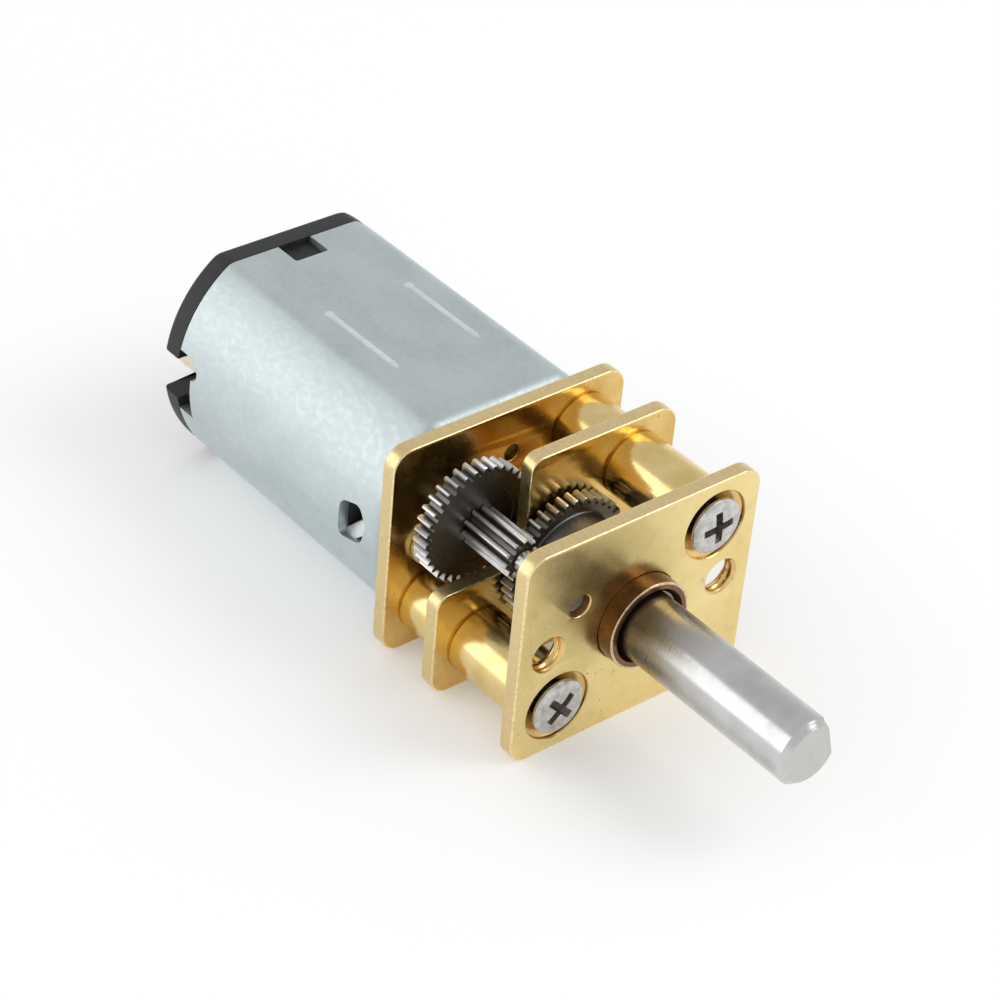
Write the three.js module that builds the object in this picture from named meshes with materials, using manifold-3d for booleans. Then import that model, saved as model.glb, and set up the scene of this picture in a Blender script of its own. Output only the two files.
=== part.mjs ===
// Small geared DC motor: a flat-sided can motor on an open three-plate brass gearbox.
// Millimetres. The origin is the centre of the output shaft's end face, +X points out along the
// shaft, +Y runs across the 12 mm width and +Z is the normal of the can's upper flat.
import * as THREE from "three";
import { mergeVertices } from "three/addons/utils/BufferGeometryUtils.js";
import Module from "manifold-3d";

const wasm = await Module();
wasm.setup();

// ---- driving dimensions ----
const WIDTH = 12;
const HEIGHT = 10;
const SHAFT_REACH = 10;
const GEARBOX_LENGTH = 9;
const PLATE = 0.7;
const PLATE_CORNER = 1.1;
const LONG_SPACER = 4.35;
const CAN_LENGTH = 14.4;
const CAN_WALL = 0.5;
const CAN_FILLET = 0.6;
const CAP_RIM = 1.1;
const REAR_REACH = 36;
const FIT = 0.01;
const RUNNING = 0.03;
const OVER = 1; // how far a cutter runs past the face that it opens

// stations along X, from the front plate back to the end cap
const X_FRONT = -SHAFT_REACH;
const X_FRONT_BACK = X_FRONT - PLATE;
const X_MIDDLE = X_FRONT_BACK - LONG_SPACER;
const X_MIDDLE_BACK = X_MIDDLE - PLATE;
const X_REAR_BACK = X_FRONT - GEARBOX_LENGTH;
const X_REAR = X_REAR_BACK + PLATE;
const X_CAN = X_REAR_BACK;
const X_CAN_INSIDE = X_CAN - CAN_WALL;
const X_CAN_END = X_CAN - CAN_LENGTH;
const X_CAP_END = X_CAN_END - CAP_RIM;

// gear train: both stages share one centre distance
const MODULE = 0.15;
const TOOTH_SHARE = 0.45;
const MOTOR_PINION_TEETH = 14;
const IDLER_GEAR_TEETH = 34;
const IDLER_PINION_TEETH = 10;
const OUTPUT_GEAR_TEETH = 38;
const SMALL_PINION_LIMIT = 20;
const CENTRES = MODULE * (IDLER_PINION_TEETH + OUTPUT_GEAR_TEETH) / 2;
const IDLER_ANGLE = THREE.MathUtils.degToRad(150);
const IDLER_Y = CENTRES * Math.cos(IDLER_ANGLE);
const IDLER_Z = CENTRES * Math.sin(IDLER_ANGLE);
const OUTPUT_GEAR_X = [-14.85, -14.15];
const OUTPUT_HUB_X = -12.1;
const OUTPUT_HUB_R = 2.3;
const IDLER_GEAR_X = [-17.1, -16.3];
const IDLER_PINION_X = [-18.2, -13.55];
const IDLER_NECK_R = 0.62;
const MOTOR_PINION_X = [-17.9, -16.1];
const PRESSURE_ANGLE = THREE.MathUtils.degToRad(20);
const MIDDLE_CUT = { y: -1.65, z: 0, r: 0.65 }; // corner of the middle plate left out for the idler

// shafts and bearings
const SHAFT_R = 1.5;
const SHAFT_CHAMFER = 0.25;
const FLAT_DEPTH = 1;
const FLAT_ANGLE = THREE.MathUtils.degToRad(16);
const FLAT_END = -9.4;
const JOURNAL_R = 0.8;
const JOURNAL_END = -15.85;
const BUSH_R = 2;
const BUSH_X = [-11.9, -9.2];
const BUSH_LIP = 0.17;
const BUSH_LIP_DEPTH = 0.3;
const BUSH_EDGE = 0.08;
const THRUST_WASHER_X = [-12.06, -11.94];
const ARBOR_R = 0.4;
const ARBOR_COLLAR_R = 0.5;
const ARBOR_COLLAR_X = -13.45;
const ARBOR_X = [-18.95, -10.25];
const ARBOR_CHAMFER = 0.12;
const ARBOR_HOLE_MOUTH = 0.08;
const MOTOR_SHAFT_R = 0.5;
const MOTOR_SHAFT_X = [-35.1, -16];

// fasteners
const MOUNT_HOLE_Y = 4.5;
const MOUNT_HOLE_R = 0.8;
const MOUNT_HOLE_CHAMFER = 0.1;
const SPACER_Y = 3.75;
const SPACER_Z = 2.9;
const SPACER_R = 1.5;
const SCREW_R = 0.7;
const SCREW_CLEARANCE_R = 0.8;
const SCREW_HEAD_R = 1.25;
const SCREW_HEAD_PROUD = 0.26;
const SCREW_CROSS = { arm: 0.775, half: 0.14, depth: 0.5 };
const COUNTERSINK_R = 1.575;
const COUNTERSINK_DEPTH = 0.5;
const MOTOR_SCREW_Y = 4;
const MOTOR_SCREW_R = 0.5;
const MOTOR_SCREW_END = -19.9;
const MOTOR_SCREW_HEAD_R = 0.9;
const MOTOR_SCREW_HEAD = 0.5;
const MOTOR_SCREW_CROSS = { arm: 0.5, half: 0.1, depth: 0.3 };
const SPARE_HOLE = { y: 0.1, z: 2.85, r: 0.39 };

// rear edge of the can, and the lanced hole in each round side
const CAP_KEY_LENGTH = 1.4;
const CAP_KEY_HALF = 0.85;
const CAP_KEY_GAP = 0.03;
const CAP_KEY_SUNK = 0.2;
const CAN_SLOT_LENGTH = 1.05;
const CAN_SLOT_HALF = 1.5;
const CAN_DIMPLE = { r: 0.38, z: 0.9 };
const LANCE = { x: -20.95, z: 0.25, r: 0.7 };

// end cap, bearings and terminals
const CAP_FLOOR = 0.85;
const CAP_SPIGOT = 1.7;
const CAP_WALL = 0.8;
const CAP_GAP = 0.02;
const CAP_SLOT_HALF = 1;
const CAP_SLOT_Y = 3.9;
const CAP_BOSS_R = 1.9;
const CAP_BOSS_END = -34.95;
const BEARING_R = 1.5;
const BEARING_FLANGE = { r: 2, length: 0.9 };
const REAR_BEARING_R = 1.25;
const REAR_BEARING_X = [-34.9, -33];
const TERMINAL_Y = 4.3;
const TERMINAL_THICKNESS = 0.25;
const TERMINAL_HALF_WIDTH = 0.75;
const TERMINAL_FOOT_X = -32.3;
const TERMINAL_EYE = { r: 0.35, inset: 0.85 };

// motor insides
const MAGNET_X = [-30, -21.7];
const MAGNET_R = [4.2, 5.45];
const MAGNET_HALF_ANGLE = THREE.MathUtils.degToRad(52);
const CORE_X = [-28.6, -22.6];
const CORE_R = 3.9;
const CORE_HUB_R = 1.3;
const POLES = 3;
const POLE_NECK = 1.3;
const POLE_SHOE_R = 3.15;
const POLE_SHOE_HALF_ANGLE = THREE.MathUtils.degToRad(50);
const WINDING = { bulk: 0.6, depth: 1.2, base: 1.6, corner: 0.5, gap: 0.03 };
const INSULATOR = 0.3;
const COMMUTATOR_X = [-32.4, -30.2];
const COMMUTATOR_R = 1.25;
const COMMUTATOR_HUB_R = 0.9;
const COMMUTATOR_SLOT = THREE.MathUtils.degToRad(6);
const BRUSH_X = [-31.8, -31];
const BRUSH_THICKNESS = 0.15;
const BRUSH_TIP = 0.9;
const BRUSH_FOOT = 0.6;
const WASHER_FRONT = { x: [-20.8, -20.5], r: 1.1 };
const WASHER_REAR = { x: [-32.9, -32.6], r: 1 };

const CAN_ARC_STEPS = 12;
const ROUND = 24;
const SMALL_ROUND = 14;

// ---- geometry helpers ----
const ALONG_X = new THREE.Matrix4().makeBasis(
  new THREE.Vector3(0, 1, 0),
  new THREE.Vector3(0, 0, 1),
  new THREE.Vector3(1, 0, 0),
);
const TURNED_X = new THREE.Matrix4().makeBasis(
  new THREE.Vector3(0, 0, 1),
  new THREE.Vector3(1, 0, 0),
  new THREE.Vector3(0, 1, 0),
);

// closed three.js geometry -> solid
function solid(geometry) {
  const bare = geometry.clone();
  for (const name of ["normal", "uv"]) bare.deleteAttribute(name);
  const merged = mergeVertices(bare, 1e-4);
  const corners = merged.index.array;
  const kept = [];
  for (let i = 0; i < corners.length; i += 3) {
    const [a, b, c] = [corners[i], corners[i + 1], corners[i + 2]];
    if (a !== b && b !== c && c !== a) kept.push(a, b, c);
  }
  const mesh = new wasm.Mesh({
    numProp: 3,
    vertProperties: new Float32Array(merged.attributes.position.array),
    triVerts: new Uint32Array(kept),
  });
  return new wasm.Manifold(mesh);
}

// solid -> three.js geometry
function geometryOf(body) {
  const { vertProperties, triVerts } = body.getMesh();
  const geometry = new THREE.BufferGeometry();
  geometry.setAttribute("position", new THREE.BufferAttribute(vertProperties, 3));
  geometry.setIndex(new THREE.BufferAttribute(triVerts, 1));
  geometry.computeVertexNormals();
  return geometry;
}

// outline drawn in Y and Z, pulled from x0 to x1
function prism(shape, x0, x1, curveSegments = 8) {
  const geometry = new THREE.ExtrudeGeometry(shape, {
    depth: x1 - x0,
    bevelEnabled: false,
    curveSegments,
  });
  return geometry.applyMatrix4(ALONG_X).translate(x0, 0, 0);
}

// closed profile of [x, radius] pairs, listed with x rising on the outside, turned about X
function turned(profile, y = 0, z = 0, segments = ROUND) {
  const points = profile.map(([x, r]) => new THREE.Vector2(r, x));
  const geometry = new THREE.LatheGeometry(points, segments);
  return geometry.applyMatrix4(TURNED_X).translate(0, y, z);
}

// plain round bar or hole cutter from x0 to x1
function bar(x0, x1, r, y = 0, z = 0, segments = ROUND) {
  return turned([[x0, 0], [x0, r], [x1, r], [x1, 0]], y, z, segments);
}

// round tube from x0 to x1
function tube(x0, x1, inner, outer, y = 0, z = 0, segments = ROUND) {
  const profile = [[x0, inner], [x0, outer], [x1, outer], [x1, inner], [x0, inner]];
  return turned(profile, y, z, segments);
}

// two distances from the middle plane, put on one side of it and in rising order
function onSide(side, a, b) {
  return [side * a, side * b].sort((first, second) => first - second);
}

function block(x0, x1, y0, y1, z0, z1) {
  const geometry = new THREE.BoxGeometry(x1 - x0, y1 - y0, z1 - z0);
  return geometry.translate((x0 + x1) / 2, (y0 + y1) / 2, (z0 + z1) / 2);
}

function cut(geometry, ...cutters) {
  let body = solid(geometry);
  for (const cutter of cutters) body = body.subtract(solid(cutter));
  return geometryOf(body);
}

// outline through the corners, each rounded by its own radius
function roundedOutline(corners) {
  const shape = new THREE.Shape();
  corners.forEach(([y, z, radius], i) => {
    const before = corners.at(i - 1);
    const after = corners[(i + 1) % corners.length];
    const start = new THREE.Vector2(before[0] - y, before[1] - z).setLength(radius);
    const end = new THREE.Vector2(after[0] - y, after[1] - z).setLength(radius);
    if (i === 0) shape.moveTo(y + start.x, z + start.y);
    else shape.lineTo(y + start.x, z + start.y);
    shape.quadraticCurveTo(y, z, y + end.x, z + end.y);
  });
  shape.closePath();
  return shape;
}

function plateOutline() {
  const [y, z, r] = [WIDTH / 2, HEIGHT / 2, PLATE_CORNER];
  return roundedOutline([[-y, -z, r], [y, -z, r], [y, z, r], [-y, z, r]]);
}

// can section: two arcs of the full width's radius, cut off by the upper and lower flats
function canSection(inset) {
  const radius = WIDTH / 2 - inset;
  const half = Math.asin((HEIGHT / 2 - inset) / radius);
  const shape = new THREE.Shape();
  shape.absarc(0, 0, radius, -half, half, false);
  shape.absarc(0, 0, radius, Math.PI - half, Math.PI + half, false);
  shape.closePath();
  return shape;
}

// involute half angle of a tooth at radius r
function toothHalfAngle(teeth, r) {
  const pitchR = MODULE * teeth / 2;
  const baseR = pitchR * Math.cos(PRESSURE_ANGLE);
  const involute = (angle) => Math.tan(angle) - angle;
  const atPitch = TOOTH_SHARE * Math.PI / teeth;
  const here = Math.acos(Math.min(1, baseR / Math.max(r, baseR)));
  return atPitch + involute(PRESSURE_ANGLE) - involute(here);
}

// spur gear outline with one tooth centred at the phase angle
function gearOutline(teeth, phase) {
  const pitchR = MODULE * teeth / 2;
  const heights = teeth > SMALL_PINION_LIMIT ? [-1.25, 0, 1] : [-1.25, -0.4, 0.3, 1];
  const radii = heights.map((share) => pitchR + share * MODULE);
  const points = [];
  for (let i = 0; i < teeth; i += 1) {
    const centre = phase + 2 * Math.PI * i / teeth;
    const flank = radii.map((r) => [r, toothHalfAngle(teeth, r)]);
    const rising = flank.map(([r, half]) => [r, centre - half]);
    const falling = flank.map(([r, half]) => [r, centre + half]).reverse();
    points.push(...rising, ...falling);
  }
  return new THREE.Shape(points.map(([r, a]) => new THREE.Vector2(r * Math.cos(a), r * Math.sin(a))));
}

function gear(teeth, phase, [x0, x1], y = 0, z = 0) {
  return prism(gearOutline(teeth, phase), x0, x1).translate(0, y, z);
}

// ---- materials ----
const finish = (color, roughness, metalness) => ({ color, roughness, metalness });
const BRASS = finish(0xdcc07c, 0.28, 1);
const COPPER = finish(0xb06f3a, 0.35, 1);
const STEEL = finish(0xb4b6b8, 0.3, 1);
const DARK_STEEL = finish(0x4c4a48, 0.45, 1);
const ZINC = finish(0xb9c6ca, 0.42, 1);
const BLACK_PLASTIC = finish(0x2b2c2d, 0.5, 0);
const FERRITE = finish(0x3a3a3c, 0.7, 0);
const CORE_STEEL = finish(0x7c7f84, 0.5, 1);
const COPPER_WIRE = finish(0xb5622d, 0.4, 1);
const WHITE_PLASTIC = finish(0xd9d4c6, 0.6, 0);
const TINNED = finish(0xc9bb8a, 0.35, 1);

const model = new THREE.Group();

function piece(name, geometry, look) {
  const mesh = new THREE.Mesh(geometry, new THREE.MeshStandardMaterial(look));
  mesh.name = name;
  model.add(mesh);
}

// ---- gearbox plates ----
const SPACERS = [
  { side: "left", y: -SPACER_Y, z: -SPACER_Z, recessTurn: Math.PI / 4 },
  { side: "right", y: SPACER_Y, z: SPACER_Z, recessTurn: 0.1 },
];

// hole through a plate, opening out at its front face
function flaredHole(front, back, r, mouthR, depth, y, z) {
  const profile = [
    [back - OVER, 0],
    [back - OVER, r],
    [front - depth, r],
    [front, mouthR],
    [front + OVER, mouthR],
    [front + OVER, 0],
  ];
  return turned(profile, y, z, ROUND);
}

function frontPlate() {
  const [front, back] = [X_FRONT, X_FRONT_BACK];
  const holes = [bar(back - OVER, front + OVER, BUSH_R + FIT)];
  for (const y of [-MOUNT_HOLE_Y, MOUNT_HOLE_Y]) {
    const mouth = MOUNT_HOLE_R + MOUNT_HOLE_CHAMFER;
    holes.push(flaredHole(front, back, MOUNT_HOLE_R, mouth, MOUNT_HOLE_CHAMFER, y, 0));
  }
  for (const { y, z } of SPACERS) {
    holes.push(flaredHole(front, back, SCREW_CLEARANCE_R, COUNTERSINK_R, COUNTERSINK_DEPTH, y, z));
  }
  const [pin, mouth] = [ARBOR_COLLAR_R + FIT, ARBOR_COLLAR_R + ARBOR_HOLE_MOUTH];
  holes.push(flaredHole(front, back, pin, mouth, ARBOR_HOLE_MOUTH, IDLER_Y, IDLER_Z));
  return cut(prism(plateOutline(), back, front), ...holes);
}

function middlePlate() {
  const [y, z, r] = [WIDTH / 2, HEIGHT / 2, PLATE_CORNER];
  const [x0, x1] = [X_MIDDLE_BACK - OVER, X_MIDDLE + OVER];
  const outline = roundedOutline([
    [-y, -z, r],
    [y, -z, r],
    [y, z, r],
    [MIDDLE_CUT.y, z, MIDDLE_CUT.r],
    [MIDDLE_CUT.y, MIDDLE_CUT.z, MIDDLE_CUT.r],
    [-y, MIDDLE_CUT.z, MIDDLE_CUT.r],
  ]);
  const holes = SPACERS.map((s) => bar(x0, x1, SCREW_CLEARANCE_R, s.y, s.z));
  holes.push(bar(x0, x1, JOURNAL_R + RUNNING));
  return cut(prism(outline, X_MIDDLE_BACK, X_MIDDLE), ...holes);
}

function rearPlate() {
  const [x0, x1] = [X_REAR_BACK - OVER, X_REAR + OVER];
  const holes = [bar(x0, x1, BEARING_R + FIT)];
  for (const s of SPACERS) holes.push(bar(x0, x1, SCREW_R + FIT, s.y, s.z));
  for (const y of [-MOTOR_SCREW_Y, MOTOR_SCREW_Y]) {
    holes.push(bar(x0, x1, MOTOR_SCREW_R + FIT, y, 0, SMALL_ROUND));
  }
  holes.push(bar(x0, x1, ARBOR_R + FIT, IDLER_Y, IDLER_Z, SMALL_ROUND));
  holes.push(bar(x0, x1, SPARE_HOLE.r, SPARE_HOLE.y, SPARE_HOLE.z, SMALL_ROUND));
  return cut(prism(plateOutline(), X_REAR_BACK, X_REAR), ...holes);
}

piece("front_plate", frontPlate(), BRASS);
piece("middle_plate", middlePlate(), BRASS);
piece("rear_plate", rearPlate(), BRASS);

for (const { side, y, z } of SPACERS) {
  const long = tube(X_MIDDLE, X_FRONT_BACK, SCREW_CLEARANCE_R, SPACER_R, y, z);
  const short = tube(X_REAR, X_MIDDLE_BACK, SCREW_CLEARANCE_R, SPACER_R, y, z);
  piece(`long_spacer_${side}`, long, BRASS);
  piece(`short_spacer_${side}`, short, BRASS);
}

// ---- screws ----
// cross-shaped cutter for the recess of a screw whose head ends at top
function crossRecess(top, { arm, half, depth }, turn) {
  const points = [];
  for (let quarter = 0; quarter < 4; quarter += 1) {
    for (const [u, v] of [[arm, half], [half, half], [half, arm]]) {
      const corner = new THREE.Vector2(u, v);
      points.push(corner.rotateAround(new THREE.Vector2(), quarter * Math.PI / 2 + turn));
    }
  }
  return prism(new THREE.Shape(points), top - depth, top + OVER);
}

function gearboxScrew({ y, z, recessTurn }) {
  const top = X_FRONT + SCREW_HEAD_PROUD;
  const end = X_REAR_BACK + 0.1;
  // countersunk under the head, then a short band at full radius and a low dome
  const profile = [
    [end, 0],
    [end, SCREW_R],
    [X_FRONT - COUNTERSINK_DEPTH, SCREW_R],
    [X_FRONT - 0.03, SCREW_HEAD_R],
    [X_FRONT + 0.08, SCREW_HEAD_R],
    [X_FRONT + 0.18, 0.88 * SCREW_HEAD_R],
    [top - 0.02, 0.5 * SCREW_HEAD_R],
    [top, 0],
  ];
  return cut(turned(profile, y, z), crossRecess(top, SCREW_CROSS, recessTurn).translate(0, y, z));
}

for (const spacer of SPACERS) piece(`gearbox_screw_${spacer.side}`, gearboxScrew(spacer), STEEL);

function motorScrew(y) {
  const seat = X_REAR + FIT;
  const top = X_REAR + MOTOR_SCREW_HEAD;
  const profile = [
    [MOTOR_SCREW_END, 0],
    [MOTOR_SCREW_END, MOTOR_SCREW_R],
    [seat, MOTOR_SCREW_R],
    [seat, MOTOR_SCREW_HEAD_R],
    [top - 0.2, MOTOR_SCREW_HEAD_R],
    [top, 0.6 * MOTOR_SCREW_HEAD_R],
    [top, 0],
  ];
  const recess = crossRecess(top, MOTOR_SCREW_CROSS, 0).translate(0, y, 0);
  return cut(turned(profile, y, 0, SMALL_ROUND), recess);
}

piece("motor_screw_left", motorScrew(-MOTOR_SCREW_Y), STEEL);
piece("motor_screw_right", motorScrew(MOTOR_SCREW_Y), STEEL);

// ---- output shaft and its bearing ----
function frontBush() {
  const [x0, x1] = BUSH_X;
  const bore = SHAFT_R + RUNNING;
  const profile = [
    [x0, bore],
    [x0, BUSH_R],
    [x1 - BUSH_EDGE, BUSH_R],
    [x1, BUSH_R - BUSH_EDGE],
    [x1, bore + BUSH_LIP],
    [x1 - BUSH_LIP_DEPTH, bore],
    [x0, bore],
  ];
  return turned(profile, 0, 0, ROUND);
}

function outputShaft() {
  const shoulder = OUTPUT_GEAR_X[0] - 0.05;
  const profile = [
    [JOURNAL_END, 0],
    [JOURNAL_END, JOURNAL_R],
    [shoulder, JOURNAL_R],
    [shoulder, SHAFT_R],
    [-SHAFT_CHAMFER, SHAFT_R],
    [0, SHAFT_R - SHAFT_CHAMFER],
    [0, 0],
  ];
  const flat = block(FLAT_END, OVER, FLAT_DEPTH, SHAFT_R + OVER, -WIDTH, WIDTH).rotateX(FLAT_ANGLE);
  return cut(turned(profile), flat);
}

function outputGear() {
  const phase = IDLER_ANGLE + Math.PI / OUTPUT_GEAR_TEETH;
  const wheel = gear(OUTPUT_GEAR_TEETH, phase, OUTPUT_GEAR_X);
  const hub = bar(OUTPUT_GEAR_X[0], OUTPUT_HUB_X, OUTPUT_HUB_R);
  const bore = bar(OUTPUT_GEAR_X[0] - OVER, OUTPUT_HUB_X + OVER, SHAFT_R + FIT);
  return geometryOf(solid(wheel).add(solid(hub)).subtract(solid(bore)));
}

piece("front_bush", frontBush(), COPPER);
piece("output_shaft", outputShaft(), STEEL);
piece("output_gear", outputGear(), DARK_STEEL);
piece("thrust_washer", tube(...THRUST_WASHER_X, SHAFT_R + RUNNING, OUTPUT_HUB_R), STEEL);

// ---- idler ----
const TOWARDS_OUTPUT = IDLER_ANGLE + Math.PI;

// round bar or cutter on the idler's own axis
const idlerBar = (x0, x1, r) => bar(x0, x1, r, IDLER_Y, IDLER_Z, SMALL_ROUND);

function idlerGear() {
  const [x0, x1] = IDLER_GEAR_X;
  const wheel = gear(IDLER_GEAR_TEETH, TOWARDS_OUTPUT, IDLER_GEAR_X, IDLER_Y, IDLER_Z);
  return cut(wheel, idlerBar(x0 - OVER, x1 + OVER, IDLER_NECK_R + FIT));
}

function idlerPinion() {
  const [x0, x1] = IDLER_PINION_X;
  const start = IDLER_GEAR_X[1] + FIT;
  const teeth = gear(IDLER_PINION_TEETH, TOWARDS_OUTPUT, [start, x1], IDLER_Y, IDLER_Z);
  const neck = idlerBar(x0, start + 0.1, IDLER_NECK_R);
  const bore = idlerBar(x0 - OVER, x1 + OVER, ARBOR_R + RUNNING);
  return geometryOf(solid(teeth).add(solid(neck)).subtract(solid(bore)));
}

function idlerArbor() {
  const profile = [
    [ARBOR_X[0], 0],
    [ARBOR_X[0], ARBOR_R],
    [ARBOR_COLLAR_X, ARBOR_R],
    [ARBOR_COLLAR_X, ARBOR_COLLAR_R],
    [ARBOR_X[1] - ARBOR_CHAMFER, ARBOR_COLLAR_R],
    [ARBOR_X[1], 0.6 * ARBOR_COLLAR_R],
    [ARBOR_X[1], 0],
  ];
  return turned(profile, IDLER_Y, IDLER_Z, SMALL_ROUND);
}

piece("idler_gear", idlerGear(), DARK_STEEL);
piece("idler_pinion", idlerPinion(), STEEL);
piece("idler_arbor", idlerArbor(), STEEL);

// ---- motor can ----
// the cup's outside: full section with a rounded front edge, squared off at the rear
function canOutside() {
  const geometry = new THREE.ExtrudeGeometry(canSection(0), {
    depth: CAN_LENGTH,
    bevelThickness: CAN_FILLET,
    bevelSize: CAN_FILLET,
    bevelOffset: -CAN_FILLET,
    bevelSegments: 3,
    curveSegments: CAN_ARC_STEPS,
  });
  geometry.applyMatrix4(ALONG_X).translate(X_CAN - CAN_FILLET - CAN_LENGTH, 0, 0);
  return cut(geometry, block(X_CAN_END - 2, X_CAN_END, -WIDTH, WIDTH, -HEIGHT, HEIGHT));
}

function motorCan() {
  const [behind, ahead] = [X_CAN_END - OVER, X_CAN + OVER];
  const cutters = [
    prism(canSection(CAN_WALL), behind, X_CAN_INSIDE, CAN_ARC_STEPS),
    bar(X_CAN_INSIDE - OVER, ahead, BEARING_R + FIT),
  ];
  for (const y of [-MOTOR_SCREW_Y, MOTOR_SCREW_Y]) {
    cutters.push(bar(X_CAN_INSIDE - OVER, ahead, MOTOR_SCREW_R + FIT, y, 0, SMALL_ROUND));
  }
  for (const side of [-1, 1]) {
    const top = onSide(side, HEIGHT / 2 - OVER, HEIGHT / 2 + OVER);
    const flank = onSide(side, WIDTH / 2 - 1.5 * OVER, WIDTH / 2 + OVER);
    const [keyEnd, slotEnd] = [X_CAN_END + CAP_KEY_LENGTH, X_CAN_END + CAN_SLOT_LENGTH];
    cutters.push(block(behind, keyEnd, -CAP_KEY_HALF, CAP_KEY_HALF, ...top));
    cutters.push(block(behind, slotEnd, ...flank, -CAN_SLOT_HALF, CAN_SLOT_HALF));
    const dimple = new THREE.CylinderGeometry(CAN_DIMPLE.r, CAN_DIMPLE.r, 2 * OVER, 16);
    cutters.push(dimple.translate(slotEnd, side * WIDTH / 2, CAN_DIMPLE.z));
    const lance = new THREE.CylinderGeometry(LANCE.r, LANCE.r, 2 * OVER, SMALL_ROUND);
    cutters.push(lance.translate(LANCE.x, side * WIDTH / 2, LANCE.z));
  }
  return cut(canOutside(), ...cutters);
}

piece("motor_can", motorCan(), ZINC);

// ---- end cap, bearings, terminals and brushes ----
// rim and spigot, with a key in each of the can's upper and lower notches
function endCap() {
  const inside = X_CAN_END + CAP_SPIGOT;
  const rim = prism(canSection(CAP_GAP), X_CAP_END, X_CAN_END - FIT, CAN_ARC_STEPS);
  const spigot = prism(canSection(CAN_WALL + CAP_GAP), X_CAN_END - 0.1, inside, CAN_ARC_STEPS);
  const hollow = prism(canSection(CAN_WALL + CAP_WALL), X_CAP_END + CAP_FLOOR, inside + OVER, CAN_ARC_STEPS);
  let body = solid(rim).add(solid(spigot));
  for (const side of [-1, 1]) {
    const half = CAP_KEY_HALF - CAP_KEY_GAP;
    const reach = onSide(side, HEIGHT / 2 - CAN_WALL - CAP_WALL, HEIGHT / 2 - CAP_KEY_SUNK);
    const key = block(X_CAN_END - 0.1, X_CAN_END + CAP_KEY_LENGTH - CAP_KEY_GAP, -half, half, ...reach);
    body = body.add(solid(key));
  }
  body = body.subtract(solid(hollow));
  body = body.add(solid(bar(CAP_BOSS_END, REAR_BEARING_X[1], CAP_BOSS_R)));
  body = body.subtract(solid(bar(CAP_BOSS_END - OVER, REAR_BEARING_X[1] + OVER, REAR_BEARING_R + FIT)));
  for (const side of [-1, 1]) {
    const reach = onSide(side, CAP_SLOT_Y, WIDTH / 2 + OVER);
    const slotEnd = X_CAN_END + CAN_SLOT_LENGTH;
    body = body.subtract(solid(block(X_CAP_END - OVER, slotEnd, ...reach, -CAP_SLOT_HALF, CAP_SLOT_HALF)));
  }
  return geometryOf(body);
}

// flanged bearing, put into the can's front wall from inside
function frontBearing() {
  const bore = MOTOR_SHAFT_R + RUNNING;
  const flange = X_CAN_INSIDE - FIT;
  const [end, tip] = [flange - BEARING_FLANGE.length, X_REAR - 0.1];
  return turned([
    [end, bore],
    [end, BEARING_FLANGE.r],
    [flange, BEARING_FLANGE.r],
    [flange, BEARING_R],
    [tip, BEARING_R],
    [tip, bore],
    [end, bore],
  ]);
}

piece("end_cap", endCap(), BLACK_PLASTIC);
piece("rear_bearing", tube(...REAR_BEARING_X, MOTOR_SHAFT_R + RUNNING, REAR_BEARING_R), COPPER);
piece("front_bearing", frontBearing(), COPPER);

// flat tab that leaves the cap's side slot rearwards; its foot stands in the slot's floor
function terminal(side) {
  const near = TERMINAL_Y - TERMINAL_THICKNESS / 2;
  const reach = onSide(side, near, near + TERMINAL_THICKNESS);
  const tab = block(-REAR_REACH, TERMINAL_FOOT_X, ...reach, -TERMINAL_HALF_WIDTH, TERMINAL_HALF_WIDTH);
  const eye = new THREE.CylinderGeometry(TERMINAL_EYE.r, TERMINAL_EYE.r, 2 * OVER, 16);
  return cut(tab, eye.translate(TERMINAL_EYE.inset - REAR_REACH, side * TERMINAL_Y, 0));
}

// leaf brush: a foot beside the terminal and a blade that lies on the commutator
function brush(side) {
  const foot = TERMINAL_Y - TERMINAL_THICKNESS / 2 - FIT;
  const blade = COMMUTATOR_R + 0.02;
  const t = BRUSH_THICKNESS;
  const outline = [
    [foot, -BRUSH_FOOT],
    [foot, blade + t],
    [-BRUSH_TIP, blade + t],
    [-BRUSH_TIP, blade],
    [foot - t, blade],
    [foot - t, -BRUSH_FOOT],
  ];
  const shape = new THREE.Shape(outline.map(([u, v]) => new THREE.Vector2(side * u, side * v)));
  return prism(shape, ...BRUSH_X);
}

for (const [name, side] of [["left", -1], ["right", 1]]) {
  piece(`terminal_${name}`, terminal(side), TINNED);
  piece(`brush_${name}`, brush(side), TINNED);
}

// ---- magnets ----
function magnet(centre) {
  const shape = new THREE.Shape();
  const [from, to] = [centre - MAGNET_HALF_ANGLE, centre + MAGNET_HALF_ANGLE];
  shape.absarc(0, 0, MAGNET_R[1], from, to, false);
  shape.absarc(0, 0, MAGNET_R[0], to, from, true);
  shape.closePath();
  return prism(shape, ...MAGNET_X, CAN_ARC_STEPS);
}

piece("magnet_left", magnet(Math.PI), FERRITE);
piece("magnet_right", magnet(0), FERRITE);

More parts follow.
